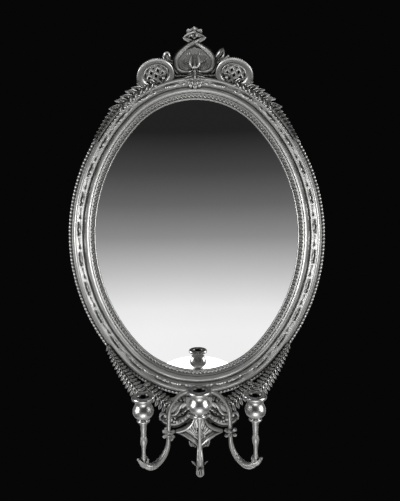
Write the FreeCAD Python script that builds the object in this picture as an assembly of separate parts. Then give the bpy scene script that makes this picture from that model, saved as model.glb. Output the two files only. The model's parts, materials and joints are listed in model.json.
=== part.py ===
"""Oval girandole mirror with three swinging candle arms, modelled as its separate pieces.

Millimetres. X runs to the viewer's right, Z up, and the front faces -Y. The origin is the
centre of the oval on the wall plane, so every height "above the wall" h lies at y = -h.
Offsets t are measured outward from the sight edge, the inner edge of the frame.
"""
import FreeCAD, Part
import math
import os

V = FreeCAD.Vector

# ---------------------------------------------------------------- driving sizes
# the oval, drawn from four centres: two end arcs and two side arcs
SIGHT_HALF_WIDTH = 270.0
SIGHT_HALF_HEIGHT = 360.0
SIGHT_END_RADIUS = 212.0

# the moulding's section
FRAME_WIDTH = 64.0            # sight edge to the outer side of the felloes
FRAME_DEPTH = 48.0
GLASS_REBATE = 12.0           # width of the step that holds the glass
BOARD_REBATE = 24.0           # width of the deeper step that holds the backboard
SLIP_WIDTH = 15.4
SLIP_HEIGHT = 26.0
BEAD_RAIL_WIDTH = 10.0
BEAD_RAIL_HEIGHT = 15.0

# glass and back
GLASS_FRONT = 18.0            # height of the glass's front face above the wall
GLASS_THICKNESS = 3.0
GLASS_LAP = 9.0               # how far the glass runs under the slip
BOARD_THICKNESS = 8.0
BOARD_INSET = 1.0             # back of the board to the wall plane
BOARD_CLEARANCE = 0.5
PLANK_JOINTS = (-100.0, 100.0)
PLANK_GAP = 0.4
BLOCK_COUNT = 10
BLOCK_LENGTH = 30.0
BLOCK_WIDTH = 6.0
NAIL_COUNT = 12
NAIL_SIDE = 2.4
NAIL_HEAD = 5.0
NAIL_LENGTH = 16.0
NAIL_HEAD_DEPTH = 1.0

# carved trail on the frame
TRAIL_COUNT = 28
TRAIL_INSET = 28.0            # middle of the trail to the felloes' outer side
TRAIL_LENGTH = 40.0
TRAIL_WIDTH = 15.0
TRAIL_RISE = 4.0

# candle arms
SOCKET_SPACING = 22.0
SOCKET_STAND = 58.0           # swivel axes above the wall
ARM_TOP_DROP = 42.0           # highest point of an arm's centre line, below the sight edge
SPIGOT_RADIUS = 4.0
SPIGOT_FIT = 0.05
SEAT_GAP = 0.3
ARM_RADIUS = 5.2
ELBOW_RADIUS = 10.5
SIDE_CROWN_RADIUS = 49.5
CENTRE_CROWN_RADIUS = 36.5
CROWN_TURN = 88.0
ARM_DROP = 64.0
SWEEP_RADIUS = 58.0
BOWL_START = 25.0
BOWL_RADIUS = 22.0
SIDE_ARM_AZIMUTH = 63.6       # from straight forward
SIDE_STEM_HEIGHT = 88.0       # end of the bend to the seat of the cup's collar
CENTRE_STEM_HEIGHT = 112.0
STEM_RADIUS = 6.2
BALUSTER_RADIUS = 8.2

# candle cups
CANDLE_RADIUS = 11.1
CANDLE_DEPTH = 24.0
CUP_HEIGHT = 66.0
CUP_RIM_RADIUS = 28.6
CUP_RIM_THICKNESS = 9.0
CUP_NECK_RADIUS = 19.5
CUP_BULB_RADIUS = 26.0
CUP_FOOT_RADIUS = 13.0
COLLAR_RADIUS = 15.6
COLLAR_HEIGHT = 8.0
TENON_RADIUS = 4.0
TENON_LENGTH = 8.0
TENON_FIT = 0.05
BALUSTER_HEIGHT = 44.0
LEAF_WALL = 2.4
LEAF_TURN = 85.0
LEAF_TIP_WIDTH = 8.0
CLASP_HEIGHT = 10.0
CLASP_WALL = 2.0
CLASP_PLACE = 0.72            # along the arm's straight drop
CLASP_REACH = 16.0

# the iron bracket that carries the arms
BRACKET_HALF_LENGTH = 33.0
BRACKET_BAR_DEPTH = 16.0
BRACKET_BAR_HEIGHT = 26.0
BRACKET_WEB = 5.0
BRACKET_FLANGE_HEIGHT = 30.0
BRACKET_CLEARANCE = 3.0
FLANGE_HALF_WIDTH = 16.0
BRACKET_SCREW_X = 9.0
BATTEN_SCREW_X = 24.0
BATTEN_SCREW_LENGTH = 18.0
HANGER_SCREW_X = 5.0
SPIGOT_LENGTH = 24.0
SCREW_RADIUS = 2.2
SCREW_HEAD_RADIUS = 4.2
SCREW_HEAD_HEIGHT = 1.8
SCREW_LENGTH = 12.0

# boards behind the crest and the apron, let into the frame's back
BATTEN_THICKNESS = 9.0
BATTEN_CLEARANCE = 0.2
CREST_BATTEN_HALF_WIDTH = 36.0
CREST_BATTEN_RISE = 78.0      # above the frame's top, and below its foot
APRON_BATTEN_HALF_WIDTH = 60.0
BATTEN_LAP = 26.0             # how far each board runs behind the frame

# crest
CARVING_THICKNESS = 12.0
CREST_HALF_WIDTH = 58.0
CREST_LAP = 8.0               # how far the crest's foot runs down over the frame's top
CREST_WAIST = 32.0            # foot of the crest to its widest place
CREST_HEIGHT = 81.0           # foot of the crest to the crossing of its bands
CREST_BAND_WIDTH = 10.0
CREST_PANEL_THICKNESS = 5.0
LOZENGE_HALF_WIDTH = 29.0
LOZENGE_HALF_HEIGHT = 12.5
LOZENGE_RISE = 14.0           # above the crossing
FLOWER_RISE = 20.0            # above the lozenge
FLOWER_PETAL_RADIUS = 8.0
FLOWER_SPREAD = 12.0

# bud, sprigs, shell, leaves and rail of the crest
BUD_HALF_WIDTH = 18.0
BUD_RISE = 13.0               # above the foot of the crest
BUD_HEIGHT = 46.0
BUD_RELIEF = 9.0
BUD_BUTTON_RADIUS = 4.5
FLOWER_PETALS = 5
SPRIG_THICKNESS = 6.0
SHELL_HALF_WIDTH = 17.0
SHELL_DROP = 41.0             # below the frame's top
SHELL_BACK = 30.0
SHELL_RELIEF = 5.0            # in front of the moulding's crest
LEAF_PAIR_HALF_WIDTH = 29.0
LEAF_PAIR_DROP = 23.0
LEAF_PAIR_BACK = 28.0
LEAF_PAIR_SINK = 2.0          # behind the moulding's crest
RAIL_HALF_LENGTH = 56.0
RAIL_DROP = 10.0
RAIL_BACK = 15.5
RAIL_FRONT = 22.0
RAIL_BEADS = 3
RAIL_BEAD_PITCH = 7.5
RAIL_BEAD_RADIUS = 3.2

# leaves: how far a lobe rakes forward and how deep the notches run
LOBE_RAKE = 1.15
LOBE_NOTCH = 0.62

# shoulder cartouches with pierced trellis
SHOULDER_ANGLE = 69.3         # on the oval's top arc
SHOULDER_STAND = 12.6         # middle of the cartouche to the frame's outer side
SHOULDER_HALF_LENGTH = 51.0
SHOULDER_HALF_HEIGHT = 35.0
SHOULDER_RIM = 14.0
SHOULDER_TILT = 20.0
SHOULDER_SINK = 22.0          # back of the cartouche, behind the moulding's crest
SHOULDER_DEPTH = 24.0
RIM_STEP = 4.0
TRELLIS_PITCH = 15.5
TRELLIS_HOLE = 9.0
TRELLIS_THICKNESS = 5.0
TRELLIS_INSET = 6.0
TRELLIS_ROWS = 3

# pendant below
PENDANT_HALF_WIDTH = 65.0
PENDANT_DROP = 53.0           # below the frame's foot
PENDANT_HEIGHT = 66.0
PENDANT_SHOULDER = 31.0       # top of the pendant to its widest place
PENDANT_RIM = 7.0
PENDANT_RIM_THICKNESS = 15.0
PENDANT_WAIST = 14.0
PENDANT_RIBS = 7
PENDANT_RIB_WIDTH = 5.0
PENDANT_RIB_LENGTH = 90.0
PENDANT_RIB_RISE = 3.0
PENDANT_FAN = 14.0
BOW_HALF_WIDTH = 30.0
BOW_RISE = 4.0                # above the pendant's top
CALYX_HALF_WIDTH = 24.0
CALYX_DROP = 16.0             # below the pendant
SCROLL_DROP = 46.0            # volutes of the lower scrolls, below the frame's foot
SCROLL_REACH = 104.0
VOLUTE_RADIUS = 13.0
VOLUTE_EYE = 5.0
CURL_RADIUS = 14.0
CURL_EYE = 7.0
SPRAY_BACK = 15.4
SPRAY_THICKNESS = 11.0

# ring hangers in the frame's back
HANGER_Z = 120.0
HANGER_PLATE_WIDTH = 18.0
HANGER_PLATE_HEIGHT = 22.0
HANGER_PLATE_THICKNESS = 1.6
HANGER_POCKET_DEPTH = 8.0
HANGER_POCKET_WIDTH = 28.0
HANGER_POCKET_HEIGHT = 46.0
RING_BAR_RADIUS = 1.5
RING_HALF_WIDTH = 9.0
RING_DROP = 16.0
RING_EYE_CLEARANCE = 0.4
RING_EYE_WALL = 1.4
RING_EYE_LENGTH = 12.0
RING_PLATE_GAP = 0.5          # ring's sides to the plate's neck

# leaf sprays beside the frame: angle on the oval's arc, distance from its outer side, for
# the root, the bend and the tip; half-widths at root and tip, outside and inside; lobes
SHOULDER_SPRAY_SPINE = (("top", 61.6, 5.9), ("right", 42.1, 20.8), ("right", 30.7, 11.8))
SHOULDER_SPRAY_OUTSIDE = (17.0, 4.0)
SHOULDER_SPRAY_INSIDE = (12.0, 4.0)
SHOULDER_SPRAY_LOBES = 8
APRON_SPRAY_SPINE = (("right", -36.1, 1.3), ("bottom", 313.8, 20.3), ("bottom", 298.0, 43.4))
APRON_SPRAY_OUTSIDE = (8.0, 24.0)
APRON_SPRAY_INSIDE = (8.0, 22.0)
APRON_SPRAY_LOBES = 9
FOLIAGE_SPINE = (("bottom", 300.3, 13.5), ("bottom", 291.5, 29.3), ("bottom", 282.9, 46.1))
FOLIAGE_OUTSIDE = (18.0, 26.0)
FOLIAGE_INSIDE = (14.0, 20.0)
FOLIAGE_LOBES = 5

# places that follow from the frame
FRAME_TOP = SIGHT_HALF_HEIGHT + FRAME_WIDTH + BEAD_RAIL_WIDTH
ARM_TOP = -(SIGHT_HALF_HEIGHT + ARM_TOP_DROP)
CREST_BATTEN_TOP = FRAME_TOP + CREST_BATTEN_RISE
APRON_BATTEN_BOTTOM = -(FRAME_TOP + CREST_BATTEN_RISE)
CREST_BOTTOM = FRAME_TOP - CREST_LAP
CREST_SHOULDER = CREST_BOTTOM + CREST_WAIST
CREST_CROSSING = CREST_BOTTOM + CREST_HEIGHT
LOZENGE_MIDDLE = CREST_CROSSING + LOZENGE_RISE
FLOWER_MIDDLE = LOZENGE_MIDDLE + FLOWER_RISE
BUD_BOTTOM = CREST_BOTTOM + BUD_RISE
SHELL_MIDDLE = FRAME_TOP - SHELL_DROP
SHELL_FRONT = FRAME_DEPTH + SHELL_RELIEF
LEAF_PAIR_MIDDLE = FRAME_TOP - LEAF_PAIR_DROP
LEAF_PAIR_FRONT = FRAME_DEPTH - LEAF_PAIR_SINK
RAIL_MIDDLE = FRAME_TOP - RAIL_DROP
SHOULDER_BACK = FRAME_DEPTH - SHOULDER_SINK
PENDANT_TOP = -(FRAME_TOP + PENDANT_DROP)
PENDANT_MIDDLE = PENDANT_TOP - PENDANT_SHOULDER
PENDANT_BOTTOM = PENDANT_TOP - PENDANT_HEIGHT
BOW_MIDDLE = PENDANT_TOP + BOW_RISE
CALYX_BOTTOM = PENDANT_BOTTOM - CALYX_DROP
SCROLL_MIDDLE = -(FRAME_TOP + SCROLL_DROP)


# ---------------------------------------------------------------- drawing helpers
def at(x, z, h=0.0):
    """A point x across, z up and h above the wall."""
    return V(x, -h, z)


def prism(outline, back, front):
    """The solid between two heights above the wall, from a closed outline at the wall."""
    face = Part.Face(outline)
    face.translate(V(0, -back, 0))
    return face.extrude(V(0, back - front, 0))


def polygon(points, h=0.0):
    """Closed outline of straight sides through (x, z) points."""
    corners = [at(x, z, h) for x, z in points]
    return Part.makePolygon(corners + corners[:1])


def block(x0, x1, h0, h1, z0, z1):
    return Part.makeBox(x1 - x0, h1 - h0, z1 - z0, V(x0, -h1, z0))


def mirrored(shape):
    return shape.mirror(V(0, 0, 0), V(1, 0, 0))


def both_sides(points):
    """Right-hand outline points, run down again on the left."""
    return points + [(-x, z) for x, z in reversed(points)]


def rotated(shape, centre, axis, degrees):
    turned = shape.copy()
    turned.rotate(centre, axis, degrees)
    return turned


def joined(shapes):
    whole = shapes[0]
    for shape in shapes[1:]:
        whole = whole.fuse(shape)
    return whole.removeSplitter()


def less(shape, cutters):
    for cutter in cutters:
        shape = shape.cut(cutter)
    return shape


def main_piece(shape):
    """The largest solid of a shape, where a cut has left crumbs beside it."""
    return max(shape.Solids, key=lambda solid: solid.Volume)


# ---------------------------------------------------------------- the oval
END_CENTRE_Z = SIGHT_HALF_HEIGHT - SIGHT_END_RADIUS
END_STEP = SIGHT_HALF_WIDTH - SIGHT_END_RADIUS
SIDE_CENTRE_X = (END_CENTRE_Z ** 2 - END_STEP ** 2) / (2 * END_STEP)
SIGHT_SIDE_RADIUS = SIGHT_HALF_WIDTH + SIDE_CENTRE_X
JOINT_ANGLE = math.degrees(math.atan2(END_CENTRE_Z, SIDE_CENTRE_X))

# name: centre x, centre z, sight radius, start angle, turn
ARCS = {
    "right": (-SIDE_CENTRE_X, 0.0, SIGHT_SIDE_RADIUS, -JOINT_ANGLE, 2 * JOINT_ANGLE),
    "top": (0.0, END_CENTRE_Z, SIGHT_END_RADIUS, JOINT_ANGLE, 180 - 2 * JOINT_ANGLE),
    "left": (SIDE_CENTRE_X, 0.0, SIGHT_SIDE_RADIUS, 180 - JOINT_ANGLE, 2 * JOINT_ANGLE),
    "bottom": (0.0, -END_CENTRE_Z, SIGHT_END_RADIUS, 180 + JOINT_ANGLE, 180 - 2 * JOINT_ANGLE),
}


def on_arc(arc, degrees, t, h=0.0):
    """Point on one of the four arcs, at an angle, an offset and a height."""
    cx, cz, radius = arc[0], arc[1], arc[2] + t
    angle = math.radians(degrees)
    return at(cx + radius * math.cos(angle), cz + radius * math.sin(angle), h)


def beside_frame(name, degrees, gap):
    """The point (x, z) at an angle on an arc, a gap outside the felloes."""
    point = on_arc(ARCS[name], degrees, FRAME_WIDTH + gap)
    return point.x, point.z


def oval_outline(t, h=0.0):
    edges = []
    for arc in ARCS.values():
        start, turn = arc[3], arc[4]
        ends = [on_arc(arc, start + share * turn, t, h) for share in (0, 0.5, 1)]
        edges.append(Part.Arc(*ends).toShape())
    return Part.Wire(Part.__sortEdges__(edges))


def along_oval(t, count, phase=0.5):
    """Evenly spaced stations round the oval at one offset, from its rightmost point."""
    lengths = {name: math.radians(arc[4]) * (arc[2] + t) for name, arc in ARCS.items()}
    whole = sum(lengths.values())
    stations = []
    for i in range(count):
        run = ((i + phase) * whole / count + 0.5 * lengths["right"]) % whole
        for name, arc in ARCS.items():
            if run <= lengths[name]:
                stations.append((arc, arc[3] + run / lengths[name] * arc[4]))
                break
            run -= lengths[name]
    return stations


def swept_section(arc, section, start=None, turn=None):
    """Revolve a moulding section, a list of (t, h) points, about one arc's centre.

    A point written as ((t, h), (t, h)) is the middle and the end of a round stretch.
    """
    begin = arc[3] if start is None else start
    sweep = arc[4] if turn is None else turn
    edges = []
    here = section[0]
    for step in section[1:] + [section[0]]:
        rounded = isinstance(step[0], tuple)
        there = step[1] if rounded else step
        a = on_arc(arc, begin, *here)
        b = on_arc(arc, begin, *there)
        if rounded:
            edges.append(Part.Arc(a, on_arc(arc, begin, *step[0]), b).toShape())
        else:
            edges.append(Part.LineSegment(a, b).toShape())
        here = there
    face = Part.Face(Part.Wire(edges))
    return face.revolve(at(arc[0], arc[1]), V(0, -1, 0), sweep)


# ---------------------------------------------------------------- frame
TORUS_INNER = SLIP_WIDTH + 1.0
CREST_OFFSET = FRAME_WIDTH - 19.0
TORUS_OUTER = CREST_OFFSET - 16.0
TORUS_HEIGHT = 35.0
BED_INNER = (TORUS_OUTER + 0.5, 30.0)
BED_OUTER = (CREST_OFFSET - 4.0, 44.0)
OGEE_MIDDLE = (FRAME_WIDTH - 10.0, 33.0)
QUIRK = (FRAME_WIDTH - 3.0, 17.0)

BOARD_FRONT = BOARD_INSET + BOARD_THICKNESS
GLASS_BACK = GLASS_FRONT - GLASS_THICKNESS
BEAD_RAIL_OUTER = FRAME_WIDTH + BEAD_RAIL_WIDTH


def felloe_section():
    return [
        (BOARD_REBATE, 0.0),
        (BOARD_REBATE, BOARD_FRONT),
        (GLASS_REBATE, BOARD_FRONT),
        (GLASS_REBATE, GLASS_FRONT),
        (SLIP_WIDTH, GLASS_FRONT),
        (SLIP_WIDTH, SLIP_HEIGHT),
        ((0.5 * (TORUS_INNER + TORUS_OUTER) - 1, TORUS_HEIGHT), (TORUS_OUTER, BED_INNER[1])),
        BED_INNER,
        BED_OUTER,
        ((CREST_OFFSET, FRAME_DEPTH), (CREST_OFFSET + 4, FRAME_DEPTH - 3)),
        OGEE_MIDDLE,
        ((0.5 * (OGEE_MIDDLE[0] + QUIRK[0]) - 1, 0.5 * (OGEE_MIDDLE[1] + QUIRK[1]) - 2), QUIRK),
        (FRAME_WIDTH, QUIRK[1] - 3),
        (FRAME_WIDTH, 0.0),
    ]


def slip_section():
    return [
        (0.0, GLASS_FRONT),
        (0.0, GLASS_FRONT + 2.5),
        (7.0, SLIP_HEIGHT),
        (12.0, SLIP_HEIGHT - 1.5),
        (SLIP_WIDTH, GLASS_FRONT + 3.0),
        (SLIP_WIDTH, GLASS_FRONT),
    ]


def bead_rail_section():
    inner, outer = FRAME_WIDTH, BEAD_RAIL_OUTER
    return [
        (inner, 0.0),
        (inner, BEAD_RAIL_HEIGHT - 6),
        (inner + 1.5, BEAD_RAIL_HEIGHT - 1.5),
        (inner + 5.0, BEAD_RAIL_HEIGHT),
        (outer - 1.0, BEAD_RAIL_HEIGHT - 2.5),
        (outer, BEAD_RAIL_HEIGHT - 5.5),
        (outer - 2.0, 0.0),
    ]


def felloe(name):
    """One of the four curved lengths of the frame, cut from the moulded section."""
    return swept_section(ARCS[name], felloe_section())


def ring_of(section):
    """A full oval ring, its four lengths glued end to end."""
    return joined([swept_section(arc, section) for arc in ARCS.values()])


TRAIL_MIDDLE = FRAME_WIDTH - TRAIL_INSET


def trail_husks():
    """Pointed husks on the sloping bed between the round and the crest of the moulding."""
    (t0, h0), (t1, h1) = BED_INNER, BED_OUTER
    slope = math.hypot(t1 - t0, h1 - h0)
    out = ((t1 - t0) / slope, (h1 - h0) / slope)
    lift = (-out[1], out[0])
    middle = (0.5 * (t0 + t1), 0.5 * (h0 + h1))
    half = min(0.5 * TRAIL_WIDTH, 0.5 * slope - 0.3)
    low = (middle[0] - half * out[0], middle[1] - half * out[1])
    high = (middle[0] + half * out[0], middle[1] + half * out[1])
    ridge = (middle[0] + TRAIL_RISE * lift[0], middle[1] + TRAIL_RISE * lift[1])
    husks = []
    for arc, degrees in along_oval(TRAIL_MIDDLE, TRAIL_COUNT):
        reach = math.degrees(0.5 * TRAIL_LENGTH / (arc[2] + TRAIL_MIDDLE))
        strip = swept_section(arc, [low, ridge, high], degrees - reach, 2 * reach)
        tip0 = on_arc(arc, degrees - reach, middle[0])
        tip1 = on_arc(arc, degrees + reach, middle[0])
        sides = [on_arc(arc, degrees, t) for t in (low[0] - 1, high[0] + 1)]
        lozenge = Part.makePolygon([tip0, sides[0], tip1, sides[1], tip0])
        husks.append(strip.common(prism(lozenge, 0, FRAME_DEPTH + TRAIL_RISE)))
    return Part.makeCompound(husks)


# ---------------------------------------------------------------- glass and back
def mirror_plate():
    return prism(oval_outline(GLASS_LAP), GLASS_BACK, GLASS_FRONT)


def glass_blocks():
    """Small softwood blocks that press the glass forward, behind its edge."""
    blocks = []
    for arc, degrees in along_oval(GLASS_REBATE, BLOCK_COUNT):
        reach = math.degrees(0.5 * BLOCK_LENGTH / (arc[2] + GLASS_REBATE))
        inner = GLASS_REBATE - BLOCK_WIDTH
        section = [(inner, BOARD_FRONT), (inner, GLASS_BACK), (GLASS_REBATE, GLASS_BACK),
                   (GLASS_REBATE, BOARD_FRONT)]
        blocks.append(swept_section(arc, section, degrees - reach, 2 * reach))
    return Part.makeCompound(blocks)


def backboard(nails):
    """Three upright planks in the deeper rebate, with holes for the cut nails."""
    board = prism(oval_outline(BOARD_REBATE - BOARD_CLEARANCE), BOARD_INSET, BOARD_FRONT)
    reach = SIGHT_HALF_WIDTH + BEAD_RAIL_OUTER
    height = SIGHT_HALF_HEIGHT + BEAD_RAIL_OUTER
    for x in PLANK_JOINTS:
        saw = block(x - PLANK_GAP / 2, x + PLANK_GAP / 2, 0, FRAME_DEPTH, -height, height)
        board = board.cut(saw)
    return board.cut(nails)


def cut_nail(point, outward):
    """A square cut nail driven forward through the board, head on the board's back."""
    base = NAIL_SIDE / 2
    head = block(-NAIL_HEAD / 2, NAIL_HEAD / 2, 0, NAIL_HEAD_DEPTH, -NAIL_HEAD / 2, NAIL_HEAD / 2)
    shank = block(-base, base, NAIL_HEAD_DEPTH, NAIL_LENGTH, -base, base)
    nail = rotated(head.fuse(shank).removeSplitter(), V(0, 0, 0), V(0, -1, 0), outward)
    nail.translate(V(point.x, -BOARD_INSET, point.z))
    return nail


def backboard_nails():
    """The nails stand clear of the two boards let into the frame's back."""
    middle = 0.5 * (GLASS_REBATE + BOARD_REBATE)
    nails = [cut_nail(on_arc(arc, degrees, middle), degrees)
             for arc, degrees in along_oval(middle, NAIL_COUNT)]
    return Part.makeCompound(nails)


# ---------------------------------------------------------------- boards behind the carving
SEAT_LINE = SIGHT_HALF_HEIGHT + FRAME_WIDTH - BATTEN_LAP


def crest_batten_outline(grow=0.0):
    w, top = CREST_BATTEN_HALF_WIDTH + grow, CREST_BATTEN_TOP + grow
    low = SEAT_LINE - grow
    shoulder = CREST_SHOULDER + grow
    return polygon(both_sides([(w, low), (w, shoulder), (0.3 * w, top)]))


def apron_batten_outline(grow=0.0):
    w, low = APRON_BATTEN_HALF_WIDTH + grow, APRON_BATTEN_BOTTOM - grow
    top = -SEAT_LINE + grow
    return polygon(both_sides([(w, top), (w, PENDANT_TOP), (0.45 * w, low)]))


def batten(outline):
    return prism(outline, 0.0, BATTEN_THICKNESS)


def housing(outline):
    """Recess in the frame's back that a board drops into."""
    return prism(outline, -1.0, BATTEN_THICKNESS + BATTEN_CLEARANCE)


# ---------------------------------------------------------------- crest
CREST_FRONT = BATTEN_THICKNESS + 16.0
CROSS_RISE = 12.0


def closed_outline(steps):
    """Closed outline of (x, z) points; ((x, z), (x, z)) is the middle and end of an arc."""
    edges = []
    here = steps[0]
    closing = [] if isinstance(steps[-1][0], tuple) and steps[-1][1] == here else [here]
    for step in steps[1:] + closing:
        rounded = isinstance(step[0], tuple)
        there = step[1] if rounded else step
        if rounded:
            edges.append(Part.Arc(at(*here), at(*step[0]), at(*there)).toShape())
        else:
            edges.append(Part.LineSegment(at(*here), at(*there)).toShape())
        here = there
    return Part.Wire(edges)


def disc(x, z, radius, back, front):
    return Part.makeCylinder(radius, front - back, at(x, z, back), V(0, -1, 0))


def crest_band():
    """The right-hand moulded band: up round the cartouche and over to the left."""
    w, b = CREST_HALF_WIDTH, CREST_BAND_WIDTH
    low, mid, cross = CREST_BOTTOM, CREST_SHOULDER, CREST_CROSSING
    end = 0.5 * LOZENGE_HALF_WIDTH
    outline = closed_outline([
        (0.14 * w, low),
        ((0.80 * w, low + 9), (w, mid)),
        ((0.77 * w, mid + 31), (0.22 * w, cross + 2)),
        (-end, cross + CROSS_RISE),
        (-end - 0.6 * b, cross + CROSS_RISE - 0.7 * b),
        (0.10 * w, cross - b + 2),
        ((0.77 * w - 0.8 * b, mid + 31 - 0.7 * b), (w - b, mid)),
        ((0.80 * w - 0.7 * b, low + 9 + 0.7 * b), (0.14 * w, low + b)),
    ])
    return prism(outline, BATTEN_THICKNESS, CREST_FRONT)


def crossed(right, left):
    """Halve the bands into each other where they cross; the left one shows in front."""
    half = 0.5 * (BATTEN_THICKNESS + CREST_FRONT)
    reach = CREST_HALF_WIDTH
    front = block(-reach, reach, half, CREST_FRONT, CREST_SHOULDER, LOZENGE_MIDDLE + reach)
    shared = right.common(left)
    return right.cut(shared.common(front)), left.cut(shared.cut(front))


def crest_panel(bands):
    """Recessed onion-shaped panel that fills the bands."""
    w, mid = CREST_HALF_WIDTH - 0.5 * CREST_BAND_WIDTH, CREST_SHOULDER
    low, top = CREST_BOTTOM + 0.5 * CREST_BAND_WIDTH, CREST_CROSSING - 0.5 * CREST_BAND_WIDTH
    outline = closed_outline([
        (0.0, low),
        ((0.8 * w, low + 9), (w, mid)),
        ((0.74 * w, mid + 25), (0.0, top)),
        ((-0.74 * w, mid + 25), (-w, mid)),
        ((-0.8 * w, low + 9), (0.0, low)),
    ])
    plate = prism(outline, BATTEN_THICKNESS, BATTEN_THICKNESS + CREST_PANEL_THICKNESS)
    return less(plate, bands)


def crest_bud(panel_front):
    """Three-petalled bud in relief on the panel."""
    w, low, tall = BUD_HALF_WIDTH, BUD_BOTTOM, BUD_HEIGHT
    petal = closed_outline([
        (-0.12 * w, low),
        ((w, low + 0.32 * tall), (0.42 * w, low + tall)),
        ((0.32 * w, low + 0.42 * tall), (-0.12 * w, low + 0.16 * tall)),
    ])
    heart = closed_outline([
        (0.0, low + 1),
        ((0.5 * w, low + 0.3 * tall), (0.0, low + 0.7 * tall)),
        ((-0.5 * w, low + 0.3 * tall), (0.0, low + 1)),
    ])
    front = panel_front + BUD_RELIEF
    side = prism(petal, panel_front, front)
    middle = prism(heart, panel_front, panel_front + 0.7 * BUD_RELIEF)
    button = disc(0, low, BUD_BUTTON_RADIUS, panel_front, front)
    return joined([side, mirrored(side), middle, button])


def crest_finial(bands):
    """Open lozenge above the crossing with a five-petalled flower on top."""
    w, h, z = LOZENGE_HALF_WIDTH, LOZENGE_HALF_HEIGHT, LOZENGE_MIDDLE
    front = BATTEN_THICKNESS + CARVING_THICKNESS
    lozenge = prism(polygon([(0, z - h), (w, z), (0, z + h), (-w, z)]), BATTEN_THICKNESS, front)
    eye = prism(polygon([(0, z - 0.2 * h), (0.2 * w, z + 0.2 * h), (0, z + 0.5 * h),
                         (-0.2 * w, z + 0.2 * h)]), 0, FRAME_DEPTH)
    petals = []
    for i in range(FLOWER_PETALS):
        turn = math.radians(90 + 360.0 / FLOWER_PETALS * (i + 0.5))
        x = FLOWER_SPREAD * math.cos(turn)
        dz = 0.6 * FLOWER_SPREAD * math.sin(turn)
        petals.append(disc(x, FLOWER_MIDDLE + dz, FLOWER_PETAL_RADIUS, BATTEN_THICKNESS, front + 2))
    heart = disc(0, FLOWER_MIDDLE, 0.7 * FLOWER_PETAL_RADIUS, BATTEN_THICKNESS, front + 4)
    return less(joined([lozenge.cut(eye)] + petals + [heart]), bands)


def crest_bud_sprig(bands):
    """Left-hand sprig: a round bud and a twig with a ball end."""
    w = CREST_HALF_WIDTH
    back = BATTEN_THICKNESS + 3
    front = back + SPRIG_THICKNESS
    z = CREST_SHOULDER
    twig = prism(polygon([(-w + 4, z + 1), (-w - 32, z + 3), (-w - 32, z + 6.5), (-w + 4, z + 7)]),
                 back, front)
    stalk = prism(polygon([(-w + 4, z + 2), (-w - 14, z + 12), (-w - 10, z + 16), (-w + 4, z + 10)]),
                  back, front)
    bud = disc(-w - 17, z + 17, 9.0, back, front + 2)
    ball = disc(-w - 33, z + 4.8, 3.2, back, front)
    return less(joined([twig, stalk, bud, ball]), bands)


def crest_leaf_sprig(bands):
    """Right-hand sprig: one upright lobed leaf and a plain twig."""
    w = CREST_HALF_WIDTH
    back = BATTEN_THICKNESS + 3
    front = back + SPRIG_THICKNESS
    z = CREST_SHOULDER
    leaf = closed_outline([
        (w - 6, z + 4),
        ((w + 1, z + 26), (w + 16, z + 40)),
        ((w + 22, z + 36), (w + 21, z + 29)),
        (w + 18, z + 26),
        (w + 19, z + 14),
        ((w + 8, z + 6), (w - 6, z + 4)),
    ])
    twig = prism(polygon([(w - 6, z), (w + 35, z + 17), (w + 33, z + 21), (w - 6, z + 6)]),
                 back, front)
    return less(joined([prism(leaf, back, front + 2), twig]), bands)


def crest_shell(frame):
    """Three-lobed shell lapping the top of the moulding under the crest."""
    w, z = SHELL_HALF_WIDTH, SHELL_MIDDLE
    lobes = [disc(-0.62 * w, z, 0.38 * w, SHELL_BACK, SHELL_FRONT),
             disc(0.62 * w, z, 0.38 * w, SHELL_BACK, SHELL_FRONT),
             disc(0, z + 0.35 * w, 0.55 * w, SHELL_BACK, SHELL_FRONT + 2),
             disc(0, z - 0.3 * w, 0.4 * w, SHELL_BACK, SHELL_FRONT)]
    return less(joined(lobes), frame)


def crest_leaf_pair(frame, others):
    """Two leaves spread left and right on a short stem between shell and cartouche."""
    z = LEAF_PAIR_MIDDLE
    leaf = closed_outline([
        (0.0, z - 4),
        ((0.5 * LEAF_PAIR_HALF_WIDTH, z - 6), (LEAF_PAIR_HALF_WIDTH, z + 1)),
        ((0.5 * LEAF_PAIR_HALF_WIDTH, z + 6), (0.0, z + 3)),
    ])
    side = prism(leaf, LEAF_PAIR_BACK, LEAF_PAIR_FRONT)
    stem = block(-5, 5, LEAF_PAIR_BACK, LEAF_PAIR_FRONT, z - 5, CREST_BOTTOM + 4)
    return less(joined([side, mirrored(side), stem]), frame + others)


def crest_rail(frame, others):
    """Thin link rail with small beads, joining the shoulder cartouches behind the leaves."""
    reach, z = RAIL_HALF_LENGTH, RAIL_MIDDLE
    rail = block(-reach, reach, RAIL_BACK, RAIL_FRONT, z - 2, z + 2)
    beads = []
    for i in range(1, RAIL_BEADS + 1):
        x = CREST_HALF_WIDTH * 0.45 + i * RAIL_BEAD_PITCH
        beads += [disc(x, z, RAIL_BEAD_RADIUS, RAIL_BACK, RAIL_FRONT + 1.5),
                  disc(-x, z, RAIL_BEAD_RADIUS, RAIL_BACK, RAIL_FRONT + 1.5)]
    return less(joined([rail] + beads), frame + others)


# ---------------------------------------------------------------- shoulders
def ellipse_outline(x, z, half_length, half_height, tilt):
    curve = Part.Ellipse(V(0, 0, 0), half_length, half_height)
    wire = Part.Wire([curve.toShape()])
    wire.rotate(V(0, 0, 0), V(1, 0, 0), 90)
    wire.rotate(V(0, 0, 0), V(0, -1, 0), tilt)
    wire.translate(at(x, z))
    return wire


SHOULDER_PLACE = beside_frame("top", SHOULDER_ANGLE, SHOULDER_STAND)


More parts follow.
